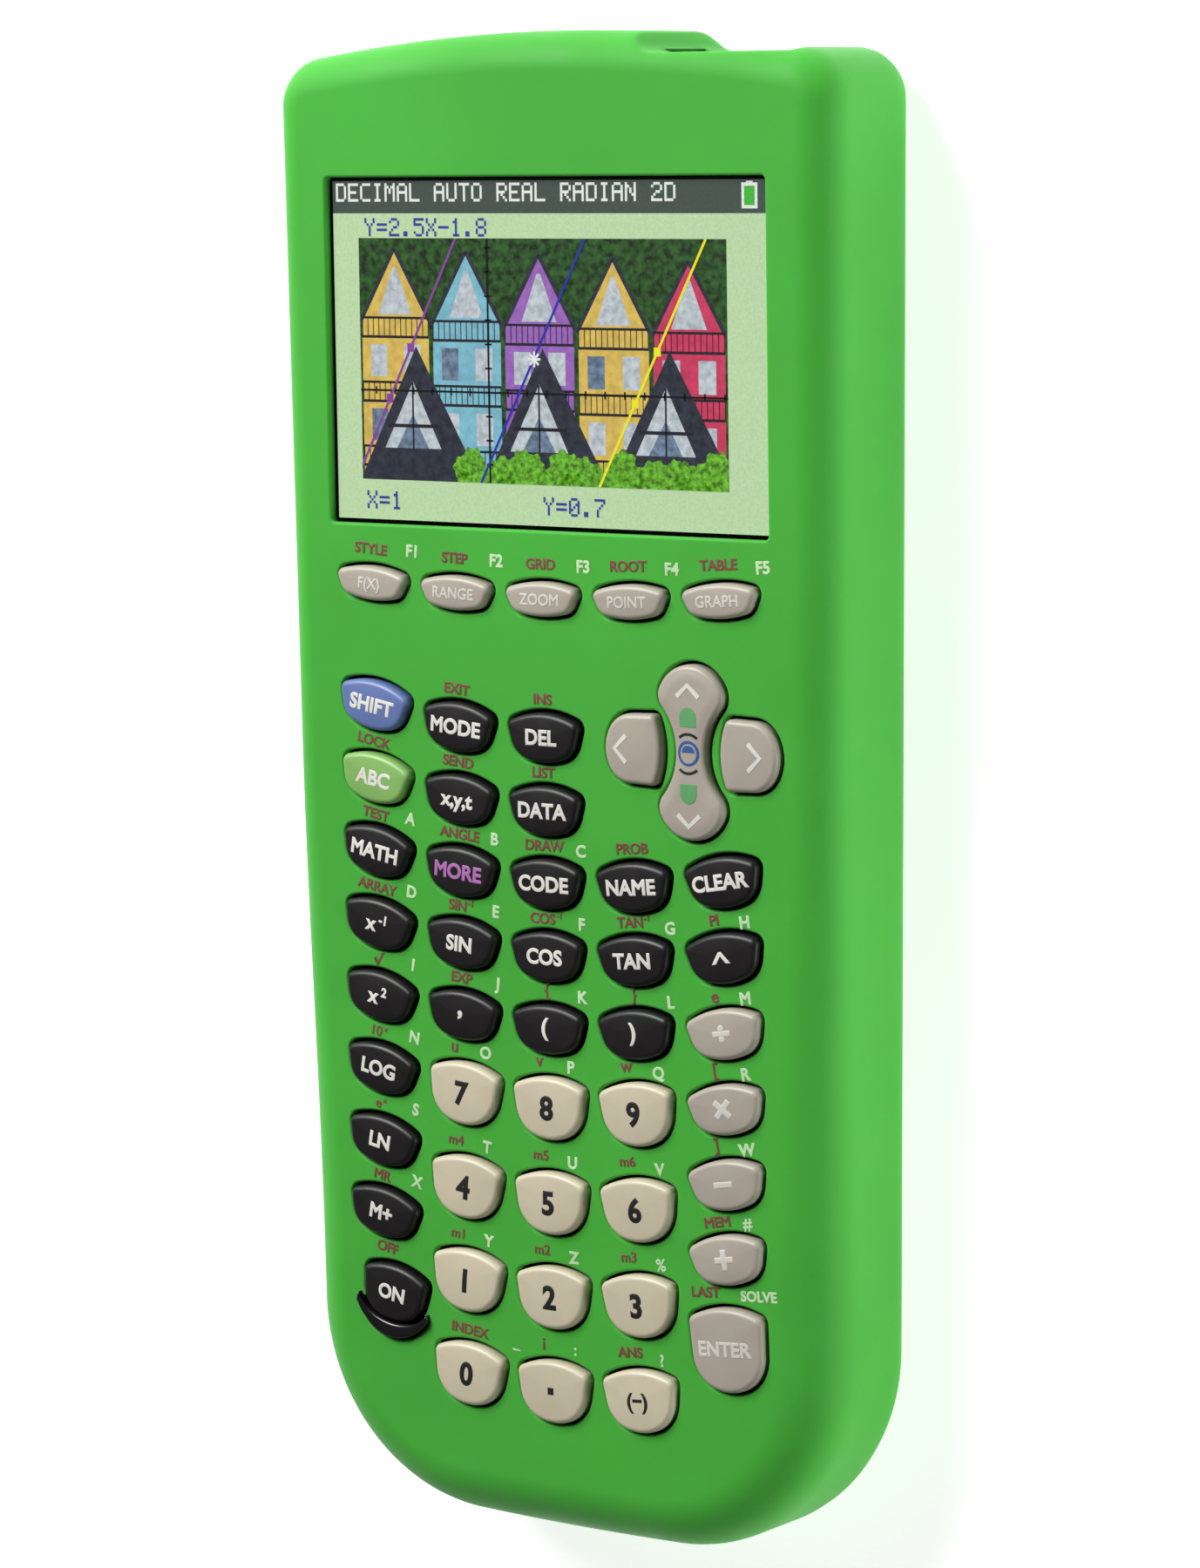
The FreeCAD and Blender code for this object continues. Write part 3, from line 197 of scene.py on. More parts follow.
class Shell:
    """Collects points and faces in millimetres, then makes an object from them in metres."""

    def __init__(self):
        self.points = []
        self.faces = []
        self.level = {}

    def ring(self, loop, heights):
        """Add a loop of points. heights is one number or one for each point."""
        first = len(self.points)
        if not hasattr(heights, "__len__"):
            heights = [heights] * len(loop)
        self.points += [Vector((p.x, p.y, z)) for p, z in zip(loop, heights)]
        return list(range(first, len(self.points)))

    def bridge(self, lower, upper, skip=()):
        """Quads between two rings, turned outwards when the second ring is above the first."""
        count = len(lower)
        for k in range(count):
            if k not in skip:
                n = (k + 1) % count
                self.faces.append((lower[k], lower[n], upper[n], upper[k]))

    def climb(self, ring, loop, heights):
        """Add a loop and join it to the ring below it. Returns its ring."""
        upper = self.ring(loop, heights)
        self.bridge(ring, upper)
        return upper

    def fill(self, ring, upward=True):
        """Close a ring with a flat face."""
        self.faces.append(tuple(ring) if upward else tuple(reversed(ring)))

    def sheet(self, outer, holes, upward=True):
        """A flat sheet between rings that are already there. Its corners keep a straight normal."""
        loops = [[self.points[k].xy for k in ring] for ring in (outer, *holes)]
        index = [k for ring in (outer, *holes) for k in ring]
        normal = Vector((0, 0, 1 if upward else -1))
        for corners in sheet_triangles(loops[0], loops[1:]):
            face = [index[k] for k in corners]
            a, b, c = (self.points[k] for k in face)
            if ((b - a).cross(c - a)).z * normal.z < 0:
                face.reverse()
            self.faces.append(tuple(face))
        self.level.update((k, normal) for k in index)

    def make(self, name, smooth=True):
        """A mesh object in metres. Its shading is smooth unless told otherwise."""
        mesh = bpy.data.meshes.new(name)
        mesh.from_pydata([p * MM for p in self.points], [], self.faces)
        mesh.validate()
        if smooth:
            mesh.shade_smooth()
        if self.level:
            normals = [self.level.get(v.index, v.normal) for v in mesh.vertices]
            mesh.normals_split_custom_set_from_vertices([tuple(n) for n in normals])
        return added(name, mesh)


def finish_piece(piece, body, material):
    """Give a piece its material and slot, and let it ride on its body."""
    piece.data.materials.clear()
    piece.data.materials.append(material)
    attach(piece, body)


def merged(name, meshes):
    """One mesh from several, which are used up."""
    whole = bmesh.new()
    for mesh in meshes:
        whole.from_mesh(mesh)
        bpy.data.meshes.remove(mesh)
    mesh = bpy.data.meshes.new(name)
    whole.to_mesh(mesh)
    whole.free()
    return mesh


def joined(name, meshes):
    """One object from several meshes."""
    return added(name, merged(name, meshes))


# ---- materials


def srgb(red, green, blue):
    """A colour given as 0 to 255 sRGB values."""
    def linear(value):
        value = value / 255
        return value / 12.92 if value <= 0.04045 else ((value + 0.055) / 1.055) ** 2.4
    return (linear(red), linear(green), linear(blue), 1.0)


def shade(colour, factor):
    return tuple(min(1.0, part * factor) for part in colour[:3]) + (1.0,)


class Paint:
    """A material with one Principled shader, and the nodes that feed it.

    An underscore in a socket's name stands for a blank.
    """

    NOISE_LOW, NOISE_HIGH = 0.35, 0.65

    def __init__(self, name, **sockets):
        self.material = bpy.data.materials.new(name)
        self.material.use_nodes = True
        self.nodes = self.material.node_tree.nodes
        self.link = self.material.node_tree.links.new
        self.shader = self.nodes["Principled BSDF"]
        self.fill_in(self.shader, sockets)

    def fill_in(self, node, sockets):
        for socket, value in sockets.items():
            node.inputs[socket.replace("_", " ")].default_value = value

    def node(self, kind, source=None, entry="Vector", **sockets):
        """A new node with its sockets set, fed by a source."""
        node = self.nodes.new(f"ShaderNode{kind}")
        self.fill_in(node, sockets)
        if source:
            self.link(source, node.inputs[entry])
        return node

    def texture(self, kind, **sockets):
        """A texture over the object's own coordinates."""
        return self.node(kind, self.node("TexCoord").outputs["Object"], **sockets)

    def noise(self, scale, detail=3.0):
        """Noise with scale in grains a metre."""
        return self.texture("TexNoise", Scale=scale, Detail=detail, Roughness=0.55).outputs["Fac"]

    def vary(self, source, low, high, *sockets):
        """Map a noise to a range of numbers or colours, and feed it to sockets of the shader."""
        if hasattr(low, "__len__"):
            node = self.node("ValToRGB", source, "Fac")
            for end, place, colour in zip(
                node.color_ramp.elements, (self.NOISE_LOW, self.NOISE_HIGH), (low, high)
            ):
                end.position, end.color = place, colour
        else:
            reach = {"From_Min": self.NOISE_LOW, "From_Max": self.NOISE_HIGH, "To_Min": low, "To_Max": high}
            node = self.node("MapRange", source, "Value", **reach)
        for socket in sockets:
            self.link(node.outputs[0], self.shader.inputs[socket])

    def bump(self, height, distance):
        node = self.node("Bump", height, "Height", Distance=distance)
        self.link(node.outputs["Normal"], self.shader.inputs["Normal"])


def moulded(name, colour, rough, grain=2600, depth=0.000006, variation=0.06, **sockets):
    """Moulded plastic or rubber: faint mottling, uneven gloss and a fine moulded grain."""
    paint = Paint(name, **sockets)
    paint.vary(paint.noise(70, 4), shade(colour, 1 - variation), shade(colour, 1 + variation), "Base Color")
    paint.vary(paint.noise(160, 2), rough - 0.03, rough + 0.03, "Roughness")
    paint.bump(paint.noise(grain, 2), depth)
    return paint.material


def ink(name, colour):
    """Printed ink: slightly uneven cover."""
    return moulded(name, colour, 0.5, grain=5200, depth=0.000002, variation=0.08)


def lit(name, colour, low=0.94, high=1.06, scale=3000):
    """Part of the lit display: a dark pigment that glows, with the faint mottling of its pixels."""
    paint = Paint(name, Roughness=0.35, Emission_Strength=0.7)
    grain = paint.noise(scale)
    paint.vary(grain, shade(colour, low * 0.3), shade(colour, high * 0.3), "Base Color")
    paint.vary(grain, shade(colour, low), shade(colour, high), "Emission Color")
    return paint.material


def silicone():
    """Translucent green silicone: soft scattering, satin gloss and a fine moulded grain."""
    colour = srgb(72, 174, 60)
    paint = Paint(
        "silicone_green",
        Subsurface_Weight=0.25,
        Subsurface_Radius=(0.35, 1.0, 0.25),
        Subsurface_Scale=0.002,
        Specular_IOR_Level=0.16,
        Sheen_Weight=0.05,
        Sheen_Roughness=0.5,
    )
    paint.vary(paint.noise(28, 4), shade(colour, 0.95), shade(colour, 1.05), "Base Color")
    paint.vary(paint.noise(90), 0.52, 0.62, "Roughness")
    paint.bump(paint.noise(1900, 2), 0.000008)
    return paint.material


def clear_window():
    """Clear moulded window: it lets the display through and mirrors a little."""
    dark = (0.01, 0.012, 0.012, 1.0)
    return Paint("clear_window", Roughness=0.05, Base_Color=dark, Alpha=0.05, IOR=1.49).material


SILICONE = silicone()
BLACK_CASE = moulded("case_black", srgb(34, 33, 35), 0.45, grain=3400, depth=0.00001)
GLOSS_BLACK = moulded("gloss_black", srgb(20, 19, 21), 0.2, grain=3000, depth=0.000002)
FINISHES = {
    "black": moulded("key_black", srgb(25, 22, 24), 0.42, Specular_IOR_Level=0.4),
    "grey": moulded("key_grey", srgb(176, 167, 154), 0.42),
    "ivory": moulded("key_ivory", srgb(206, 196, 170), 0.40),
    "blue": moulded("key_blue", srgb(98, 118, 172), 0.40),
    "green": moulded("key_green", srgb(134, 184, 100), 0.40),
}
LEGENDS = {
    "white": ink("legend_white", srgb(226, 224, 215)),
    "pale": ink("legend_pale", srgb(214, 209, 199)),
    "dark": ink("legend_dark", srgb(26, 24, 26)),
    "purple": ink("legend_purple", srgb(176, 112, 178)),
}
PRINT_DARK = ink("print_dark", srgb(118, 70, 58))
PRINT_LIGHT = ink("print_light", srgb(196, 226, 180))
MARK_GREEN = ink("mark_green", srgb(96, 168, 104))
MARK_BLUE = ink("mark_blue", srgb(46, 92, 158))

# ---- the keys and their words

# how far a row's curve rises at one pitch from the middle
SMILE = {"menu": 0.24, "function": 0.6, "digit": 0.6, "on": 0.6}
ENTER_TILT = 4.5
FLANGE = 0.55
CAP_GAP = 0.42

# A line at the margin gives the kind, finish and legend colour of the keys under it. A key's line gives
# its node, its legend, and the word and the letter printed beside it. A dot stands for nothing.
KEY_LINES = """
menu grey pale
  key_equation F(X) STYLE F1
  key_window RANGE STEP F2
  key_zoom ZOOM GRID F3
  key_trace POINT ROOT F4
  key_graph GRAPH TABLE F5
function blue white
  key_second SHIFT . .
function green white
  key_alpha ABC LOCK .
function black white
  key_math MATH TEST A
  key_inverse x^-1 ARRAY D
  key_square x^2 √ I
  key_log LOG 10^x N
  key_ln LN e^x S
  key_store M+ MR X
  key_mode MODE EXIT .
  key_delete DEL INS .
  key_variable x,y,t SEND .
  key_stat DATA LIST .
function black purple
  key_apps MORE ANGLE B
function black white
  key_program CODE DRAW C
  key_vars NAME PROB .
  key_sine SIN SIN^-1 E
  key_cosine COS COS^-1 F
  key_tangent TAN TAN^-1 G
  key_comma , EXP J
  key_open_paren ( { K
  key_close_paren ) } L
  key_clear CLEAR . .
  key_power ∧ PI H
function grey pale
  key_divide ÷ e M
  key_multiply × [ R
  key_minus − ] W
  key_plus + MEM #
digit ivory dark
  key_7 7 u O
  key_8 8 v P
  key_9 9 w Q
  key_4 4 m4 T
  key_5 5 m5 U
  key_6 6 m6 V
  key_1 1 m1 Y
  key_2 2 m2 Z
  key_3 3 m3 %
  key_0 0 INDEX _
  key_point ▪ i :
  key_negative (−) ANS ?
on black white
  key_on ON OFF .
enter grey pale
  key_enter ENTER LAST SOLVE
arrow grey pale
  arrow_left . . .
  arrow_right . . .
"""
KEYS = {}
for key_line in KEY_LINES.strip().splitlines():
    key_words = ["" if word == "." else word for word in key_line.split()]
    if key_line.startswith(" "):
        KEYS[key_words[0]] = (*group[:2], key_words[1], group[2], *key_words[2:])
    else:
        group = key_words


def tilt_of(node, kind, x):
    """A key's tilt in radians: rows curve like a smile, and each key follows its row."""
    if kind == "arrow":
        return pi / 2 * (1 if node.endswith("right") else -1)
    if kind == "enter":
        return radians(ENTER_TILT)
    if kind == "on":
        x = -2 * PITCH
    return atan(2 * SMILE[kind] * MM * x / PITCH**2)


def key_place(node, kind):
    """The key's own origin and tilt. Its box holds the tilted flange, so the origin is worked back."""
    low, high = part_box(node)
    middle = (low + high) / 2
    tilt = tilt_of(node, kind, middle.x)
    turn = Matrix.Rotation(tilt, 2)
    rim = [turn @ point for point in CAPS[kind].points(-FLANGE, 3)]
    centre_x = (min(p.x for p in rim) + max(p.x for p in rim)) / 2
    centre_y = (min(p.y for p in rim) + max(p.y for p in rim)) / 2
    return Vector((middle.x / MM - centre_x, middle.y / MM - centre_y)), tilt


PLACES = {node: key_place(node, row[0]) for node, row in KEYS.items()}


def placed(points, node):
    """A loop in the key's own frame, moved to where the key is."""
    spot, tilt = PLACES[node]
    turn = Matrix.Rotation(tilt, 2)
    return [turn @ point + spot for point in points]


# ---- rocker outline

ROCKER = middle_of("arrow_rocker") / MM
LOBE_ARCH = 5.3
SHOULDER_RADIUS = 2.4
SHOULDER = Vector((2.6, 7.2))
WAIST_HALF = 2.3


def rocker_points(inset=0.0, density=1.0):
    """The dumbbell: arched ends, four shoulders and a hollow waist, anticlockwise."""
    reach = sqrt((LOBE_ARCH - SHOULDER_RADIUS) ** 2 - SHOULDER.x**2)
    end = Vector((0, SHOULDER.y - reach))
    out = SHOULDER.x - WAIST_HALF
    waist_radius = (out**2 + SHOULDER.y**2 - SHOULDER_RADIUS**2) / (2 * (SHOULDER_RADIUS + out))
    waist = Vector((WAIST_HALF + waist_radius, 0))
    end_turn = atan2(SHOULDER.y - end.y, SHOULDER.x - end.x)
    waist_turn = atan2(SHOULDER.y - waist.y, SHOULDER.x - waist.x)
    few, some, many = (max(2, round(number * density)) for number in (5, 8, 12))
    side = arc(waist, waist_radius + inset, pi, waist_turn, some)
    side += arc(SHOULDER, SHOULDER_RADIUS - inset, waist_turn - pi, end_turn, many)[1:]
    side += arc(end, LOBE_ARCH - inset, end_turn, pi / 2, few)[1:]
    half = side + [Vector((-p.x, p.y)) for p in reversed(side[:-1])]
    other = [Vector((-p.x, -p.y)) for p in half[1:-1]]
    return half + other


# ---- key caps

# how thick the lettering is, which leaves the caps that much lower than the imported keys
LIFT = 0.045
# a key's travel, and how far a pressed cap's foot stays above the mat
TRAVEL = 1.0
FOOT_GAP = 0.05
CAP_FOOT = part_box("keypad_mat")[1].z / MM + TRAVEL + FOOT_GAP
CAP_ROUND = 0.75
CAP_STEPS, CROWN_STEPS = 7, 8
CAP_DENSITY, ROCKER_DENSITY = 1.5, 1.4
CROWN = 0.17
MENU_CROWN_SHARE = 0.6
ROCKER_CROWN_WIDTH = 1.3
# how much faster the level lines become circles than they rise to the middle
ROUNDING_PACE = 1.4


def cap_sides(outline, edge_top):
    """A cap's foot, wall and rounded upper edge. outline(inset) gives its loops. Returns the last ring."""
    shell = Shell()
    ring = shell.ring(outline(0.0), CAP_FOOT)
    shell.fill(ring, upward=False)
    for inset, drop in quarter(CAP_ROUND, CAP_STEPS):
        ring = shell.climb(ring, outline(inset), edge_top - drop)
    return shell, ring


def cap_shell(outline, top, crown):
    """A cap with a pillowed top: its level lines turn from the cap's outline into circles."""
    shell, ring = cap_sides(outline, top - crown)
    rim = outline(CAP_ROUND)
    centre = sum(rim, Vector((0, 0))) / len(rim)
    reach = min((p - centre).length for p in rim)
    for step in range(1, CROWN_STEPS):
        share = step / CROWN_STEPS
        roundness = min(1, ROUNDING_PACE * share)
        arms = [point - centre for point in rim]
        loop = [centre + arm.lerp(arm.normalized() * reach, roundness) * (1 - share) for arm in arms]
        ring = shell.climb(ring, loop, top - crown + crown * (1 - (1 - share) ** 2))
    tip = len(shell.points)
    shell.points.append(Vector((centre.x, centre.y, top)))
    for k in range(len(ring)):
        shell.faces.append((ring[k], ring[(k + 1) % len(ring)], tip))
    return shell


def key_cap(node):
    """One key's cap, in place."""
    kind, finish = KEYS[node][:2]

    def outline(inset):
        return placed(CAPS[kind].points(inset, CAP_DENSITY), node)

    shell = cap_shell(outline, KEY_TOP / MM - LIFT, CROWN * (MENU_CROWN_SHARE if kind == "menu" else 1))
    piece = shell.make(f"cap_{node}")
    finish_piece(piece, node, FINISHES[finish])
    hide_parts(node)
    return piece


def rocker_cap():
    """The up and down key's cap, with a crowned edge and a flat top."""
    def outline(inset):
        return [p + ROCKER.xy for p in rocker_points(inset, ROCKER_DENSITY)]

    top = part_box("arrow_rocker")[1].z / MM - LIFT
    shell, ring = cap_sides(outline, top - CROWN)
    for step in range(1, CROWN_STEPS + 1):
        share = step / CROWN_STEPS
        loop = outline(CAP_ROUND + ROCKER_CROWN_WIDTH * share)
        ring = shell.climb(ring, loop, top - CROWN * (1 - share) ** 2)
    shell.sheet(ring, [])
    piece = shell.make("cap_arrow_rocker")
    finish_piece(piece, "arrow_rocker", FINISHES["grey"])
    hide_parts("arrow_rocker")
    return piece


caps = {node: key_cap(node) for node in KEYS}
caps["arrow_rocker"] = rocker_cap()


# ---- lettering

# the height of a capital and the gap between parts, as shares of the letters' size
CAPITAL, PART_GAP = 0.729, 0.09
# the size of raised letters, and their rise as a share of a capital's height
RAISED_SIZE, RAISED_BY = 0.62, 0.55
# how much the strokes grow, as shares of the letters' size
BOLD, SMALL_BOLD = 0.042, 0.026
KEY_BOLD, MENU_BOLD = 0.04, 0.024
DRAPE_STEP = 0.5


def text_mesh(text, height, bold, stretch=1.0, widest=None):
    """Raised letters in millimetres, centred on the origin. A ^ lifts what follows it.

    A bevel makes the strokes bolder. The mesh is then flattened to LIFT.
    """
    meshes = []
    cursor = 0.0
    size = height / CAPITAL
    for number, part in enumerate(text.split("^")):
        curve = bpy.data.curves.new("letters", "FONT")
        curve.body = part
        curve.size = size * (RAISED_SIZE if number else 1)
        curve.bevel_depth = bold * size * (RAISED_SIZE if number else 1)
        curve.bevel_resolution = 1
        curve.resolution_u = 4
        curve.extrude = LIFT
        letters = added("letters", curve)
        bpy.context.view_layer.update()
        mesh = bpy.data.meshes.new_from_object(letters.evaluated_get(bpy.context.evaluated_depsgraph_get()))
        bpy.data.objects.remove(letters)
        bpy.data.curves.remove(curve)
        xs = [v.co.x for v in mesh.vertices]
        rise = height * RAISED_BY if number else 0.0
        mesh.transform(Matrix.Translation((cursor - min(xs), rise, 0)))
        cursor += max(xs) - min(xs) + size * PART_GAP
        meshes.append(mesh)
    mesh = merged("letters", meshes)
    xs, ys, zs = zip(*(v.co for v in mesh.vertices))
    width = (max(xs) - min(xs)) * stretch
    if widest and width > widest:
        stretch *= widest / width
    middle_y = (min(ys) + max(ys)) / 2 if len(text) == 1 and not text.isalnum() else height / 2
    centre = Matrix.Translation((-(max(xs) + min(xs)) / 2, -middle_y, 0))
    mesh.transform(Matrix.Diagonal((stretch, 1, LIFT / max(zs), 1)) @ centre)
    return mesh


def refine(mesh):
    """Cut a mesh along a grid, so that it follows the surface between its corners too once it's draped."""
    fine = bmesh.new()
    fine.from_mesh(mesh)
    step = DRAPE_STEP * MM
    for axis in (0, 1):
        places = [vertex.co[axis] for vertex in fine.verts]
        first, last = min(places), max(places)
        normal = Vector((1 - axis, axis, 0))
        for number in range(1, ceil((last - first) / step)):
            geometry = fine.verts[:] + fine.edges[:] + fine.faces[:]
            place = normal * (first + number * step)
            bmesh.ops.bisect_plane(fine, geom=geometry, plane_co=place, plane_no=normal, dist=1e-9)
    fine.to_mesh(mesh)
    fine.free()


def drape(mesh, target):
    """Lift each point of a mesh, given in metres, by the height of the surface under it."""
    refine(mesh)
    for vertex in mesh.vertices:
        hit, place, _, _ = target.ray_cast(Vector((vertex.co.x, vertex.co.y, 1.0)), Vector((0, 0, -1)))
        vertex.co.z += place.z if hit else target.data.vertices[-1].co.z


def place_mesh(mesh, spot, tilt, height=0.0):
    """Move a millimetre mesh into the object's frame, in metres."""
    move = Matrix.Translation((spot[0], spot[1], height))
    mesh.transform(Matrix.Scale(MM, 4) @ move @ Matrix.Rotation(tilt, 4, "Z"))


LEGEND_HEIGHTS = {"menu": 1.5, "function": 2.0, "digit": 3.1, "on": 1.95, "enter": 1.9}
SIGNS = {
    "÷": 3.4, "×": 3.6, "−": 3.6, "+": 3.6, "∧": 1.7, "▪": 1.9, ",": 2.6, "(": 2.2, ")": 2.2, "(−)": 2.0,
}


def key_legend(node):
    """The legend on a key's cap."""
    kind, _, legend, colour = KEYS[node][:4]
    if not legend:
        return
    height = SIGNS.get(legend, LEGEND_HEIGHTS[kind])
    stretch = {"∧": 1.7}.get(legend, 1.0 if kind in ("digit", "menu") else 1.05)
    mesh = text_mesh(legend, height, KEY_BOLD if kind != "menu" else MENU_BOLD, stretch, widest=9.2)
    spot, tilt = PLACES[node]
    place_mesh(mesh, spot, tilt)
    drape(mesh, caps[node])
    piece = joined(f"legend_{node}", [mesh])
    finish_piece(piece, node, LEGENDS[colour])


for node in KEYS:
    key_legend(node)


# how far the printed word and the printed letter stand from a key's middle
PRINT_SPOTS = {
    "menu": ((-0.4, 4.5), (6.4, 4.4)),
    "function": ((-0.4, 4.85), (5.4, 4.5)),
    "right": ((-1.7, 4.6), (3.0, 4.7)),
    "digit": ((-1.8, 6.0), (3.3, 5.45)),
    "on": ((-1.3, 5.9), (0, 0)),
    "enter": ((-3.6, 6.9), (4.6, 7.2)),
    "key_0": ((0.0, 5.7), (7.6, 3.9)),
}
WORD_HEIGHT, SINGLE_HEIGHT = 1.4, 1.4 * 1.25
LETTER_HEIGHT, LONG_HEIGHT = 1.6, 1.35


def sleeve_prints():
    """The words and letters printed on the sleeve beside the keys."""
    words, letters = [], []
    for node, (kind, _, _, _, word, letter) in KEYS.items():
        if kind == "arrow":
            continue
        spot, tilt = PLACES[node]
        right = kind == "function" and spot.x > 1.5 * PITCH / MM
        word_spot, letter_spot = PRINT_SPOTS.get(node, PRINT_SPOTS["right" if right else kind])
        if word:
            height = SINGLE_HEIGHT if len(word) == 1 else WORD_HEIGHT
            mesh = text_mesh(word, height, BOLD if word.isupper() else SMALL_BOLD, 1.06, widest=7.2)
            place_mesh(mesh, spot + Vector(word_spot), tilt, FACE / MM)
            words.append(mesh)
        if letter:
            height = LONG_HEIGHT if len(letter) > 2 else LETTER_HEIGHT
            mesh = text_mesh(letter, height, BOLD if letter.isalnum() else SMALL_BOLD, 1.05, widest=6.4)
            place_mesh(mesh, spot + Vector(letter_spot), tilt, FACE / MM)
            letters.append(mesh)
    finish_piece(joined("printed_words", words), "root", PRINT_DARK)
    finish_piece(joined("printed_letters", letters), "root", PRINT_LIGHT)


sleeve_prints()

# ---- sleeve

# radii of the top and bottom corners, and of the top and bottom arches
CORNERS = (6.5, 27.0, 270.0, 600.0)
LOW_HALF = 42.4
END_WALL = 1.2
SLEEVE, HOLLOW = (
    Shield(SLEEVE_HIGH.x / MM, LOW_HALF, SLEEVE_HIGH.y / MM - wall, -SLEEVE_LOW.y / MM, *CORNERS)
    for wall in (0, END_WALL)
)
SLEEVE_DENSITY, KEY_HOLE_DENSITY, ROCKER_HOLE_DENSITY = 9, 1.6, 1.5
RIM, RIM_STEPS = 0.4, 4
TOP_ROUND, BOTTOM_ROUND, ROUND_STEPS = 5.0, 7.3, 12
BACK_ROUND, BACK_STEPS = 4.6, 6
ROUND_STARTS, ROUND_GROWS = 5, 70
LIP_WIDTH = 5.5
LIP_TOP = CASE_LOW.z / MM - 0.03
WALL_INSET = 1.95
CEILING, CEILING_ROUND = 19.25, 3.0
NOTCH_FLOOR = SLEEVE_HIGH.y / MM - 3.1
NOTCH_MIDDLE, NOTCH_HALF, NOTCH_FLARE = 27.0, 9.5, 3.6
NOTCH_BLEND = 0.12
TOP_END = 80
# the port opening's corners, as places across and up
PORT_LOW, PORT_HIGH = (15.2, 5.9), (34.6, 14.7)
PORT_LEVELS = (PORT_HIGH[1], (PORT_HIGH[1] + PORT_LOW[1]) / 2, PORT_LOW[1])
GUARD_HALF, GUARD_DEPTH, GUARD_WIDTH, GUARD_RISE = 5.7, 3.9, 2.0, -2.4
SCREEN_LOW, SCREEN_HIGH, SCREEN_CORNER = Vector((-35.05, 34.4)), Vector((35.05, 79.6)), 0.6


def notch_limit(x):
    """How far up a point at x may reach: the port notch has a flat floor and two arcs for flanks."""
    beyond = abs(x - NOTCH_MIDDLE) - NOTCH_HALF
    if beyond <= 0:
        return NOTCH_FLOOR
    rise = SLEEVE_HIGH.y / MM + 1 - NOTCH_FLOOR
    radius = (NOTCH_FLARE**2 + rise**2) / (2 * rise)
    if beyond >= radius:
        return NOTCH_FLOOR + 2 * rise
    return NOTCH_FLOOR + radius - sqrt(radius**2 - beyond**2) + 3 * max(0, beyond - NOTCH_FLARE)


def notched(point):
    """A point of the outer skin, held back by the notch with a soft edge."""
    limit = notch_limit(point.x)
    gap = (limit - point.y) / NOTCH_BLEND
    if gap > 12:
        return point
    if gap < -12:
        return Vector((point.x, limit))
    return Vector((point.x, limit - NOTCH_BLEND * log(1 + exp(gap))))


def front_round(y):
    """The front edge's radius: it grows from the display end to the other end."""
    share = min(1.0, max(0.0, (ROUND_STARTS - y) / ROUND_GROWS))
    return TOP_ROUND + (BOTTOM_ROUND - TOP_ROUND) * share * share * (3 - 2 * share)


def guard_bow(drop, half):
    """y of an arc through both tips of the crescent, at each x, in the ON key's frame."""
    radius = (half**2 + drop**2) / (2 * drop)
    centre = GUARD_RISE - drop + radius
    return lambda x: centre - sqrt(max(0.0, radius**2 - x**2))


def guard_loop(clearance):
    """The crescent's outline, anticlockwise, in the ON key's frame."""
    half, deep = GUARD_HALF + clearance, GUARD_DEPTH + clearance
    outer = guard_bow(deep, half)
    inner = guard_bow(deep - GUARD_WIDTH - 2 * clearance, half)
    xs = [half * sin(pi * k / 40) for k in range(-20, 21)]
    return loop_of(*((x, outer(x)) for x in xs), *((x, inner(x)) for x in reversed(xs[1:-1])))


def union_loop(loops, centre, count):
    """The outer bound of some loops, seen from a centre inside them."""
    bound = []
    for k in range(count):
        turn = 2 * pi * k / count
        ray = Vector((cos(turn), sin(turn)))
        far = 0.0
        for loop in loops:
            for index, a in enumerate(loop):
                edge = loop[index - 1] - a
                cross = ray.x * edge.y - ray.y * edge.x
                if abs(cross) < 1e-12:
                    continue
                offset = a - centre
                distance = (offset.x * edge.y - offset.y * edge.x) / cross
                share = (offset.x * ray.y - offset.y * ray.x) / cross
                if 0 <= share <= 1:
                    far = max(far, distance)
        bound.append(centre + ray * far)
    return bound


def rounded_box(low, high, corner):
    """A rectangle with round corners that lies across x = 0, anticlockwise."""
    corners = [(high.x, low.y, -90), (high.x, high.y, 0), (low.x, high.y, 90), (low.x, low.y, 180)]
    loop = []
    for x, y, start in corners:
        centre = (x - copysign(corner, x), y - copysign(corner, y - (low.y + high.y) / 2))
        loop += arc(centre, corner, radians(start), radians(start + 90), 6)
    return loop


def sleeve_holes():
    """The loops of every hole in the sleeve's face, at the hole's wall."""
    holes = []
    for node, row in KEYS.items():
        loop = CAPS[row[0]].points(-CAP_GAP, KEY_HOLE_DENSITY)
        if node == "key_on":
            loop = union_loop([loop, guard_loop(CAP_GAP)], Vector((0, -1.0)), 90)
        holes.append(placed(loop, node))
    holes.append([p + ROCKER.xy for p in rocker_points(-CAP_GAP, ROCKER_HOLE_DENSITY)])
    holes.append(rounded_box(SCREEN_LOW, SCREEN_HIGH, SCREEN_CORNER))
    return holes


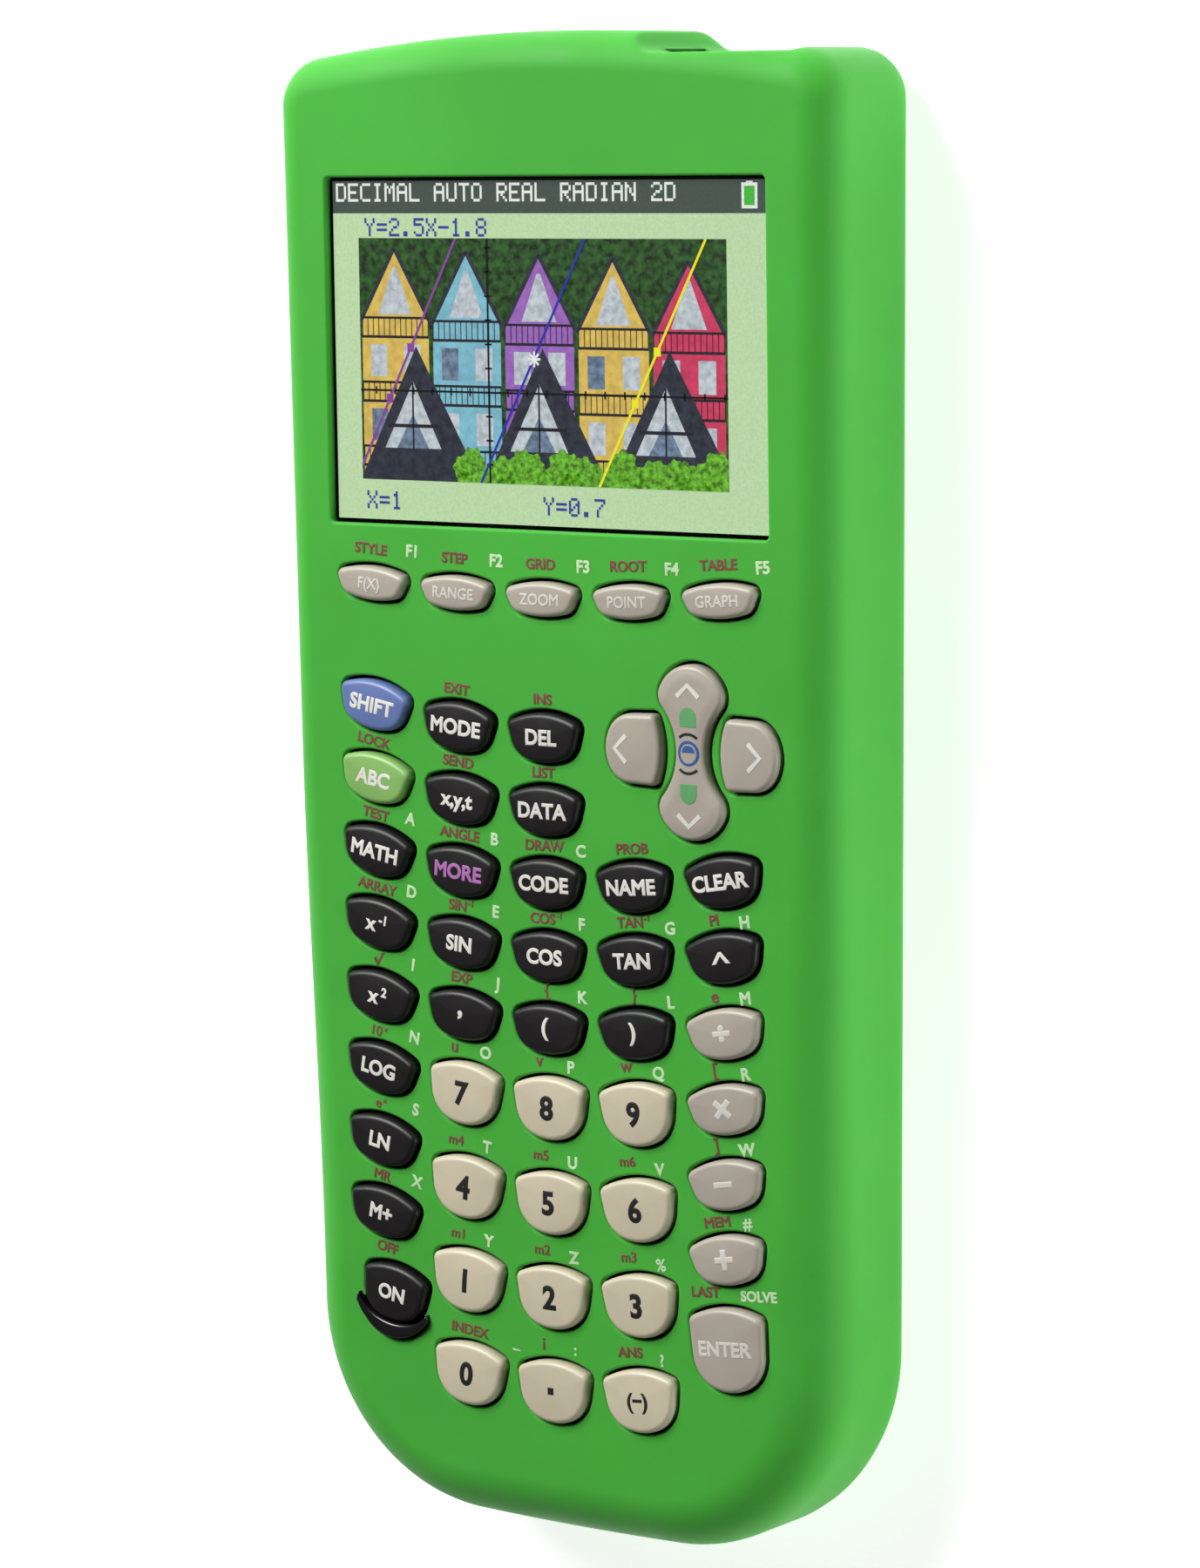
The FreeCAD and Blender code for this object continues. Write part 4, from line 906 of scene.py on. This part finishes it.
def sleeve_profile():
    """The sleeve's rings, from the face down the side, round the back and up inside.

    Each has its outline, its inset and height, and what a millimetre of the front edge's radius adds to
    the inset and to the height.
    """
    face = FACE / MM
    rings = [(SLEEVE, 0, face, out, -sunk) for sunk, out in quarter(1.0, ROUND_STEPS)]
    for level in PORT_LEVELS:
        share = (face - TOP_ROUND - level) / (face - TOP_ROUND - BACK_ROUND)
        rings.append((SLEEVE, 0, face * (1 - share) + BACK_ROUND * share, 0, share - 1))
    edge = quarter(BACK_ROUND, BACK_STEPS)
    lip = [(LIP_WIDTH - RIM, 0.0), (LIP_WIDTH - 0.1, 0.12), (LIP_WIDTH, RIM), (LIP_WIDTH, LIP_TOP)]
    rings += [(SLEEVE, inset, height, 0, 0) for inset, height in edge + lip]
    rings += [(HOLLOW, WALL_INSET, height, 0, 0) for height in (LIP_TOP, *reversed(PORT_LEVELS))]
    for inset, drop in quarter(CEILING_ROUND, BACK_STEPS):
        rings.append((HOLLOW, WALL_INSET + inset, CEILING - drop, 0, 0))
    return rings


def make_sleeve():
    """The soft sleeve: face, rounded sides, lip round the back, holes, port notch and port opening."""
    shell = Shell()
    bases = {outline: outline.points(0.0, SLEEVE_DENSITY) for outline in (SLEEVE, HOLLOW)}
    inner = {outline: outline.points(1.0, SLEEVE_DENSITY) for outline in (SLEEVE, HOLLOW)}
    base = bases[SLEEVE]
    radii = [front_round(point.y) for point in base]
    rings = []
    for outline, inset, height, more_inset, more_height in sleeve_profile():
        insets = [inset + more_inset * radius for radius in radii]
        loop = [a + (b - a) * share for a, b, share in zip(bases[outline], inner[outline], insets)]
        if outline is SLEEVE:
            loop = [notched(point) for point in loop]
        rings.append(shell.ring(loop, [height + more_height * radius for radius in radii]))

    port = {
        k for k, p in enumerate(base)
        if p.y > TOP_END and p.x <= PORT_HIGH[0] and base[(k + 1) % len(base)].x >= PORT_LOW[0]
    }
    outer_top, outer_low = ROUND_STEPS + 1, ROUND_STEPS + 3
    inner_low = len(rings) - len(PORT_LEVELS) - (BACK_STEPS + 1)
    inner_top = inner_low + 2
    for number in range(len(rings) - 1):
        cut = outer_top <= number < outer_low or inner_low <= number < inner_top
        shell.bridge(rings[number + 1], rings[number], port if cut else ())
    stations = sorted(port) + [max(port) + 1]
    for a, b in zip(stations, stations[1:]):
        for outer, within in ((rings[outer_top], rings[inner_top]), (rings[outer_low], rings[inner_low])):
            shell.faces.append((outer[a], outer[b], within[b], within[a]))
    for k in (stations[0], stations[-1]):
        for step in range(2):
            shell.faces.append((
                rings[outer_top + step][k], rings[outer_top + step + 1][k],
                rings[inner_top - step - 1][k], rings[inner_top - step][k],
            ))

    top_loops, bottom_loops = [], []
    for loop in sleeve_holes():
        ring = shell.ring(offset_loop(loop, RIM), FACE / MM)
        top_loops.append(ring)
        for sunk, out in quarter(RIM, RIM_STEPS, 1):
            ring = shell.climb(ring, offset_loop(loop, out), FACE / MM - sunk)
        bottom_loops.append(shell.climb(ring, loop, CEILING))
    shell.sheet(rings[0], top_loops)
    shell.sheet(rings[-1], bottom_loops, upward=False)
    piece = shell.make("sleeve")
    finish_piece(piece, "root", SILICONE)
    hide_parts("silicone_sleeve")


make_sleeve()


# ---- the ridge round the ON key's foot

GUARD_GROWN = 0.14
GUARD_SQUARE = 0.34
GUARD_LEAST = 0.8
GUARD_SINK = 0.2


def guard_ridge():
    """A glossy crescent over the case's ridge, with soft edges."""
    shell = Shell()
    outer = guard_bow(GUARD_DEPTH, GUARD_HALF)
    inner = guard_bow(GUARD_DEPTH - GUARD_WIDTH, GUARD_HALF)
    foot = CASE_TOP / MM - GUARD_SINK
    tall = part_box("front_case")[1].z / MM + GUARD_GROWN - foot
    rings = []
    for k in range(-30, 31):
        x = (GUARD_HALF + GUARD_GROWN) * sin(pi * k / 60)
        x_on = copysign(min(GUARD_HALF, abs(x)), x)
        middle = (outer(x_on) + inner(x_on)) / 2
        half = max(GUARD_LEAST, (inner(x_on) - outer(x_on)) / 2 + GUARD_GROWN)
        spots, heights = [], []
        for step in range(17):
            turn = pi * step / 16
            across = copysign(abs(cos(turn)) ** GUARD_SQUARE, cos(turn)) * half
            spots.append(Vector((x, middle + across)))
            heights.append(foot + tall * sin(turn) ** GUARD_SQUARE)
        rings.append(shell.ring(placed(spots, "key_on"), heights))
    for a, b in zip(rings, rings[1:]):
        for k in range(16):
            shell.faces.append((a[k], b[k], b[k + 1], a[k + 1]))
        shell.faces.append((a[16], b[16], b[0], a[0]))
    shell.fill(rings[0], upward=True)
    shell.fill(rings[-1], upward=False)
    piece = shell.make("on_key_ridge")
    finish_piece(piece, "root", GLOSS_BLACK)


guard_ridge()


# ---- marks on the arrow keys

LINE = 0.34


def ribbon(points, width):
    """A closed band of even width along an open line of points."""
    left, right = [], []
    for k, point in enumerate(points):
        along = (points[min(k + 1, len(points) - 1)] - points[max(k - 1, 0)]).normalized()
        across = Vector((-along.y, along.x)) * width / 2
        left.append(point + across)
        right.append(point - across)
    return right + left[::-1]


def slab(shell, loop, low, high):
    """Add a flat plate between two heights."""
    ring = shell.ring(loop, low)
    top = shell.climb(ring, loop, high)
    shell.fill(ring, upward=False)
    shell.fill(top)


def marks(name, loops, node, colour, spot):
    """Flat printed marks, draped over a cap. Loops are in millimetres about the spot."""
    meshes = []
    for loop in loops:
        shell = Shell()
        slab(shell, [point + spot for point in loop], 0.0, LIFT)
        mark = shell.make(name, smooth=False)
        drape(mark.data, caps[node])
        meshes.append(mark.data)
        bpy.data.objects.remove(mark)
    finish_piece(joined(name, meshes), node, colour)


def chevron(half, rise, turn, x, y):
    """A chevron as one ribbon. It points up before it's turned."""
    loop = ribbon(loop_of((-half, -rise / 2), (0, rise / 2), (half, -rise / 2)), 0.62)
    return [Matrix.Rotation(turn, 2) @ point + Vector((x, y)) for point in loop]


def half_round(y, flip):
    """A mark with one round end."""
    half = 1.25
    loop = loop_of((-half, -half), (half, -half)) + arc((0, 0), half, 0, pi, 12)
    return [point * (-1 if flip else 1) + Vector((0, y)) for point in loop]


def bracket(y, start):
    """A thin arc of 80 degrees over or under the ring."""
    return ribbon(arc((0, y), 2.1, radians(start), radians(start + 80), 12), LINE)


def arrow_marks():
    """Chevrons on the four arrows, two green marks, a blue ring and two brackets on the rocker."""
    ring = ribbon(arc((0, 0), 1.45, 0, 2 * pi, 40), LINE)
    inner_half = arc((0, 0), 1.0, 0.1, pi - 0.1, 16)
    for name, loops, colour in (
        ("chevrons", [chevron(1.7, 1.5, 0, 0, 7.9), chevron(1.7, 1.5, pi, 0, -8.6)], LEGENDS["white"]),
        ("contrast_marks", [half_round(4.6, False), half_round(-5.2, True)], MARK_GREEN),
        ("ring", [inner_half, ring], MARK_BLUE),
        ("brackets", [bracket(0.35, 50), bracket(-0.45, 230)], LEGENDS["dark"]),
    ):
        marks(f"rocker_{name}", loops, "arrow_rocker", colour, ROCKER.xy)
    for node, turn, shift in (("arrow_left", pi / 2, -1.7), ("arrow_right", -pi / 2, 1.1)):
        loop = chevron(1.75, 1.8, turn, shift, 0)
        marks(f"chevron_{node}", [loop], node, LEGENDS["white"], PLACES[node][0])


arrow_marks()


# ---- what the display shows

LAYER = 0.009
GLASS = LCD_HIGH.z / MM + 0.012
PIXEL = 0.34
VIEW_LOW, VIEW_HIGH = Vector((-30.3, 40.2)), Vector((28.5, 71.7))
GLASS_LOW, GLASS_HIGH = Vector((-34.5, 34.95)), Vector((34.5, 79.1))
STATUS_LOW = 74.9

# colour, and where the mottling isn't the usual one its low and high factor and its scale
SCREEN_TONES = {
    "field": (196, 226, 176),
    "status": (72, 84, 78),
    "text": (58, 66, 160),
    "white": (238, 244, 236),
    "charge": (70, 190, 60),
    "forest": (38, 74, 30, 0.35, 1.9, 900),
    "yellow": (222, 190, 92, 0.85, 1.12, 700),
    "cyan": (128, 190, 208, 0.85, 1.12, 700),
    "violet": (158, 104, 190, 0.85, 1.12, 700),
    "rose": (208, 62, 98, 0.85, 1.12, 700),
    "roof": (46, 50, 62, 0.7, 1.4, 800),
    "pane": (196, 206, 212, 0.75, 1.15, 900),
    "dim_pane": (112, 132, 156, 0.6, 1.3, 900),
    "rail": (34, 34, 40),
    "bush": (96, 164, 42, 0.45, 1.7, 1300),
    "ink": (12, 12, 14),
    "violet_line": (140, 70, 160),
    "blue_line": (44, 50, 170),
    "yellow_line": (246, 240, 40),
}
SCREEN = {tone: lit(f"screen_{tone}", srgb(*row[:3]), *row[3:]) for tone, row in SCREEN_TONES.items()}


def flats(name, loops, tone, layer):
    """Thin flat shapes on one layer of the display. Loops are in millimetres."""
    shell = Shell()
    low = GLASS + LAYER * layer
    for loop in loops:
        area = sum(a.x * b.y - a.y * b.x for a, b in zip(loop, loop[1:] + loop[:1]))
        slab(shell, loop if area > 0 else loop[::-1], low, low + LAYER * 0.6)
    piece = shell.make(f"display_{name}", smooth=False)
    finish_piece(piece, "root", SCREEN[tone])


def box_loop(left, low, right, high):
    return loop_of((left, low), (right, low), (right, high), (left, high))


GLYPH_LINES = """
A .###. #...# #...# ##### #...# #...# #...#
C .#### #.... #.... #.... #.... #.... .####
D ####. #...# #...# #...# #...# #...# ####.
E ##### #.... #.... ####. #.... #.... #####
I .###. ..#.. ..#.. ..#.. ..#.. ..#.. .###.
L #.... #.... #.... #.... #.... #.... #####
M #...# ##.## #.#.# #.#.# #...# #...# #...#
N #...# ##..# #.#.# #.#.# #..## #...# #...#
O .###. #...# #...# #...# #...# #...# .###.
R ####. #...# #...# ####. #.#.. #..#. #...#
T ##### ..#.. ..#.. ..#.. ..#.. ..#.. ..#..
U #...# #...# #...# #...# #...# #...# .###.
X #...# #...# .#.#. ..#.. .#.#. #...# #...#
Y #...# #...# .#.#. ..#.. ..#.. ..#.. ..#..
0 .###. #...# #..## #.#.# ##..# #...# .###.
1 ..#.. .##.. ..#.. ..#.. ..#.. ..#.. .###.
2 .###. #...# ....# ..##. .#... #.... #####
5 ##### #.... ####. ....# ....# #...# .###.
7 ##### ....# ...#. ..#.. .#... .#... .#...
8 .###. #...# #...# .###. #...# #...# .###.
= ..... ..... ##### ..... ##### ..... .....
. ..... ..... ..... ..... ..... .##.. .##..
- ..... ..... ..... ##### ..... ..... .....
"""
GLYPHS = {line[0]: line[2:].split() for line in GLYPH_LINES.strip().splitlines()}
GLYPHS[" "] = []


def pixel_text(name, text, left, top, tone):
    """Text in the display's own square pixels, each run of a row as one box."""
    loops = []
    for place, letter in enumerate(text):
        for row, line in enumerate(GLYPHS[letter]):
            for run in range(5):
                if line[run] == "#" and (run == 0 or line[run - 1] != "#"):
                    length = len(line[run:].split(".")[0])
                    x, y = left + (place * 6 + run) * PIXEL, top - row * PIXEL
                    loops.append(box_loop(x, y - PIXEL, x + length * PIXEL, y))
    flats(name, loops, tone, 8)


def clipped(loop, low, high):
    """A loop cut to a rectangle, one side after the other."""
    for axis, limit, sign in ((0, low.x, 1), (0, high.x, -1), (1, low.y, 1), (1, high.y, -1)):
        kept = []
        for k, b in enumerate(loop):
            a = loop[k - 1]
            inside_a, inside_b = (a[axis] - limit) * sign >= 0, (b[axis] - limit) * sign >= 0
            if inside_a != inside_b:
                kept.append(a.lerp(b, (limit - a[axis]) / (b[axis] - a[axis])))
            if inside_b:
                kept.append(b)
        loop = kept
    return loop


def within_view(loops):
    """Loops cut to the picture's frame, without those that lie outside it."""
    return [loop for loop in (clipped(loop, VIEW_LOW, VIEW_HIGH) for loop in loops) if len(loop) > 2]


def houses():
    """Five gabled houses in a row, with balconies and lit windows."""
    tones = ("yellow", "cyan", "violet", "yellow", "rose")
    width = (VIEW_HIGH.x - VIEW_LOW.x) / len(tones)
    half = width / 2 - 0.35
    gables, panes, dim, rails, roofs = {tone: [] for tone in tones}, [], [], [], []
    for number, tone in enumerate(tones):
        middle = VIEW_LOW.x + width * (number + 0.5)
        left, right = middle - half, middle + half
        peak = VIEW_HIGH.y - 1.6 - 0.35 * number
        eave = peak - 9.0
        gables[tone].append(loop_of(
            (left, VIEW_LOW.y), (right, VIEW_LOW.y), (right, eave), (middle, peak), (left, eave)
        ))
        for side in (-1, 1):
            slope = loop_of((middle + side * (half + 0.25), eave - 0.3), (middle, peak + 0.25))
            roofs.append(ribbon(slope, 0.55))
        panes.append(loop_of(
            (middle - half * 0.5, eave + 0.7), (middle + half * 0.5, eave + 0.7),
            (middle + 0.3, peak - 2.2), (middle - 0.3, peak - 2.2),
        ))
        for floor in range(3):
            level = eave - 1.2 - 8.4 * floor
            rails.append(box_loop(left, level + 1.3, right, level + 1.62))
            rails.append(box_loop(left, level - 1.2, right, level - 0.85))
            for bar in range(13):
                x = left + (2 * half - 0.14) * bar / 12
                rails.append(box_loop(x, level - 0.9, x + 0.14, level + 1.4))
            for side in (-1, 1):
                x = middle + side * half * 0.5
                target = panes if (floor + number) % 2 == 0 or side > 0 else dim
                target.append(box_loop(x - 1.35, level - 6.2, x + 1.35, level - 2.0))
    for tone in ("yellow", "cyan", "violet", "rose"):
        flats(f"houses_{tone}", within_view(gables[tone]), tone, 2)
    flats("house_roofs", within_view(roofs), "roof", 3)
    flats("house_panes", within_view(panes), "pane", 3)
    flats("house_dim_panes", within_view(dim), "dim_pane", 3)
    flats("balconies", within_view(rails), "rail", 4)


def huts():
    """Three dark roofs in front, each with a glass gable."""
    roofs, panes, dims, frames = [], [], [], []
    top, foot = 57.3, VIEW_LOW.y - 1
    sill = foot + 5.2
    for x in (-21.5, -0.9, 19.1):
        roofs.append(loop_of((x - 9.6, foot), (x + 11.4, foot), (x + 0.5, top + 0.4)))
        panes.append(loop_of((x - 4.9, sill), (x + 4.4, sill), (x - 0.1, top - 4.2)))
        dims.append(loop_of((x - 2.9, sill), (x + 2.4, sill), (x - 0.2, top - 8.4)))
        frames.append(box_loop(x - 4.4, foot + 7.9, x + 4.1, foot + 8.35))
        frames.append(box_loop(x - 0.3, sill, x - 0.02, 53.0))
    flats("hut_roofs", within_view(roofs), "roof", 5)
    flats("hut_panes", within_view(panes), "pane", 6)
    flats("hut_dim_panes", within_view(dims), "dim_pane", 7)
    flats("hut_frames", within_view(frames), "rail", 8)


def bushes():
    """A hedge of round bushes along the lower edge."""
    loops = []
    for number in range(27):
        spot = Vector((-13.6 + 42.0 * number / 26, VIEW_LOW.y + 1.9 + 0.9 * sin(number * 1.3)))
        size = 1.5 + 0.7 * sin(number * 2.1) + 0.4 * sin(number * 5.3)
        loops.append([
            spot + Vector((cos(turn), sin(turn))) * size * (1 + 0.13 * sin(k * 1.9 + number))
            for k, turn in ((k, k * tau / 22) for k in range(22))
        ])
    for number, loop in enumerate(within_view(loops)):
        flats(f"bush_{number}", [loop], "bush", 9 + number % 2 * 0.4)
    flats("bush_ground", within_view([box_loop(-14.5, VIEW_LOW.y, VIEW_HIGH.x, VIEW_LOW.y + 1.6)]), "bush", 9)


def plot():
    """The plotted lines over the picture, the axes with their ticks, the markers and the cursor."""
    axis_x, axis_y, tick = -9.1, 51.9, 3.1
    axes = [
        box_loop(axis_x - 0.15, VIEW_LOW.y, axis_x + 0.15, VIEW_HIGH.y),
        box_loop(VIEW_LOW.x, axis_y - 0.13, VIEW_HIGH.x, axis_y + 0.13),
    ]
    for step in range(-6, 13):
        x = axis_x + tick * step
        if VIEW_LOW.x < x < VIEW_HIGH.x and step:
            axes.append(box_loop(x - 0.13, axis_y - 0.5, x + 0.13, axis_y + 0.5))
    for step in range(-3, 7):
        y = axis_y + tick * step
        if step:
            axes.append(box_loop(axis_x - 0.55, y - 0.12, axis_x + 0.55, y + 0.12))
    flats("axes", axes, "ink", 10.6)
    for tone, low, high, markers in (
        ("violet_line", -31.2, -14.2, (0.34, 0.55)),
        ("blue_line", -10.6, 6.6, ()),
        ("yellow_line", 8.4, 25.4, (0.34, 0.55)),
    ):
        line = loop_of((low, VIEW_LOW.y), (high, VIEW_HIGH.y))
        flats(f"plot_{tone}", within_view([ribbon(line, 0.36)]), tone, 11.2)
        spots = [line[0].lerp(line[1], share) for share in markers]
        if spots:
            half = Vector((0.55, 0))
            flats(f"markers_{tone}", [ribbon([spot - half, spot + half], 1.1) for spot in spots], tone, 11.8)
    spot = Vector((-1.7, 56.3))
    for number in range(4):
        turn = number * pi / 4
        arm = Vector((cos(turn), sin(turn)))
        flats(f"cursor_{number}", [ribbon([spot - arm, spot + arm], 0.3)], "white", 11.9 + number * 0.3)


def display():
    """The status bar, the text lines, the battery sign and the picture with its plot."""
    flats("field", [box_loop(GLASS_LOW.x, GLASS_LOW.y, GLASS_HIGH.x, STATUS_LOW)], "field", 0)
    flats("status_bar", [box_loop(GLASS_LOW.x, STATUS_LOW, GLASS_HIGH.x, GLASS_HIGH.y)], "status", 0)
    flats("forest", [box_loop(VIEW_LOW.x, VIEW_LOW.y, VIEW_HIGH.x, VIEW_HIGH.y)], "forest", 1)
    pixel_text("status_text", "DECIMAL AUTO REAL RADIAN 2D", -33.9, 78.8, "white")
    pixel_text("formula_text", "Y=2.5X-1.8", -29.2, 74.3, "text")
    pixel_text("x_text", "X=1", -29.6, 38.7, "text")
    pixel_text("y_text", "Y=0.7", -0.6, 38.7, "text")
    left, right, low, high, wall = 30.9, 33.3, 75.5, 78.7, 0.4
    edge = [box_loop(left, low, right, high), box_loop(31.6, high, 32.6, high + 0.2)]
    flats("battery_edge", edge, "white", 7)
    flats("battery_inside", [box_loop(left + wall, low + wall, right - wall, high - wall)], "charge", 8)
    houses()
    huts()
    bushes()
    plot()


display()


# ---- materials of the other parts


def circuit_board():
    """Green solder mask with fine copper runs under it."""
    paint = Paint("circuit_board", Roughness=0.35, Coat_Weight=0.3)
    runs = paint.texture(
        "TexBrick",
        Scale=260,
        Mortar_Size=0.03,
        Color1=srgb(18, 84, 48),
        Color2=srgb(20, 92, 52),
        Mortar=srgb(34, 116, 68),
    )
    paint.link(runs.outputs["Color"], paint.shader.inputs["Base Color"])
    paint.bump(runs.outputs["Fac"], 0.00002)
    return paint.material


def steel(name, colour, rough):
    """Brushed metal."""
    paint = Paint(name, Metallic=1.0)
    grain = paint.noise(1800, 2)
    paint.vary(grain, shade(colour, 0.9), shade(colour, 1.05), "Base Color")
    paint.vary(grain, rough - 0.06, rough + 0.08, "Roughness")
    paint.bump(grain, 0.000003)
    return paint.material


def dress(node, material):
    """Give a CAD node its finished material."""
    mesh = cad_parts[node].data
    if not mesh.materials:
        mesh.materials.append(material)
    for number in range(len(mesh.materials)):
        mesh.materials[number] = material


COARSE = {"grain": 2200, "depth": 0.00003, "variation": 0.02}
DRESSES = {
    "front_case": BLACK_CASE,
    "rear_case": moulded("rear_case_black", srgb(38, 38, 41), 0.55, **COARSE),
    "battery_cover": moulded("cover_black", srgb(42, 42, 45), 0.55, **COARSE),
    "display_window": clear_window(),
    "lcd_module": moulded("display_frame", srgb(24, 25, 28), 0.3, grain=3000, depth=0.000003),
    "keypad_mat": moulded("mat_rubber", srgb(92, 94, 98), 0.6),
    "main_board": circuit_board(),
    "battery_pack": moulded("battery_wrap", srgb(40, 62, 96), 0.3, grain=1200, depth=0.000008),
    "case_screws": steel("screw_steel", srgb(150, 150, 154), 0.32),
    "port_connectors": steel("connector_steel", srgb(176, 176, 174), 0.3),
}
for node, material in DRESSES.items():
    dress(node, material)


# ---- back

# how deep the feet and the grip ridges sit in the part behind them
SUNK = 0.05
FOOT_RADIUS, FOOT_TALL = 2.8, 0.9
FAR_FEET = Vector((31, 74))
NEAR_FEET = 24
RIDGE_TALL, RIDGE_COUNT, RIDGE_STEP = 0.35, 7, 1.7
RIDGE_HALVES = Vector((9, 0.5))


def downward(name, loop_at, tall, base):
    """A low boss on the back, with a rounded edge. loop_at(inset) gives its loops."""
    shell = Shell()
    ring = shell.ring(loop_at(0.0), base)
    shell.fill(ring)
    for inset, rise in quarter(tall * 0.6, 5):
        lower = shell.ring(loop_at(inset), base - tall + rise)
        shell.bridge(lower, ring)
        ring = lower
    shell.fill(ring, upward=False)
    return shell.make(name)


def back_details():
    """Four rubber feet on the rear case and grip ridges on the battery cover."""
    cover_low, cover_high = (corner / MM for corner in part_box("battery_cover"))
    near = Vector((NEAR_FEET, cover_low.y - 8))
    foot_rubber = moulded("foot_rubber", srgb(28, 28, 30), 0.7)
    spots = [Vector((spot.x * side, spot.y)) for spot in (FAR_FEET, near) for side in (1, -1)]
    for number, spot in enumerate(spots):
        def foot_loop(inset, spot=spot):
            return arc(spot, FOOT_RADIUS - inset, 0, tau, 40)[:-1]
        foot = downward(f"back_foot_{number + 1}", foot_loop, FOOT_TALL, CASE_LOW.z / MM + SUNK)
        finish_piece(foot, "root", foot_rubber)
    for number in range(RIDGE_COUNT):
        middle = Vector((0, cover_high.y - 4 - RIDGE_STEP * number))
        def ridge_loop(inset, middle=middle):
            reach = RIDGE_HALVES - Vector((inset, inset))
            return rounded_box(middle - reach, middle + reach, 0.2)
        ridge = downward(f"cover_ridge_{number + 1}", ridge_loop, RIDGE_TALL, cover_low.z + SUNK)
        finish_piece(ridge, "battery_cover", DRESSES["battery_cover"])


back_details()


# ---- stage, lights and camera

FLOOR_REACH = 3.0


def stage_floor():
    """A pale floor that glows a little, just under the object."""
    mesh = bpy.data.meshes.new("floor")
    corners = [(x * FLOOR_REACH, y * FLOOR_REACH, 0) for x, y in ((-1, -1), (1, -1), (1, 1), (-1, 1))]
    mesh.from_pydata(corners, [], [(0, 1, 2, 3)])
    floor = added("floor", mesh)
    floor.location.z = -0.0002
    paint = Paint("pale_floor", Roughness=0.7, Emission_Strength=0.85)
    paint.vary(paint.noise(6), srgb(240, 240, 240), srgb(246, 246, 246), "Base Color", "Emission Color")
    mesh.materials.append(paint.material)


def soft_light(name, place, size, power):
    """A rectangular area light that faces the origin."""
    light = bpy.data.lights.new(name, "AREA")
    light.shape = "RECTANGLE"
    light.size, light.size_y = size
    light.energy = power
    lamp = added(name, light)
    lamp.location = place
    lamp.rotation_euler = (-Vector(place)).to_track_quat("-Z", "Y").to_euler()


def studio():
    """A soft key light from the far left, and a low card on the right for the side wall."""
    soft_light("key", (-0.45, 0.62, 0.62), (0.5, 0.5), 13.8)
    soft_light("right_card", (0.85, -0.1, 0.07), (0.9, 0.12), 3.4)
    world = bpy.data.worlds.new("studio")
    world.use_nodes = True
    background = world.node_tree.nodes["Background"]
    background.inputs["Color"].default_value = (1.0, 1.0, 1.0, 1.0)
    background.inputs["Strength"].default_value = 0.1
    bpy.context.scene.world = world


def camera():
    """The viewing angle: above the right side, with the display end away from the viewer."""
    lens = bpy.data.cameras.new("camera")
    lens.sensor_width = 36.0
    lens.lens = 122.7
    lens.clip_start = 0.05
    lens.shift_x, lens.shift_y = 0.0055, 0.0008
    view = added("camera", lens)
    view.location = (0.41276, 0.08774, 0.56628)
    view.rotation_euler = [radians(turn) for turn in (-7.798, 36.532, -1.021)]
    bpy.context.scene.camera = view


stage_floor()
studio()
camera()
bpy.context.scene.view_settings.view_transform = "Standard"
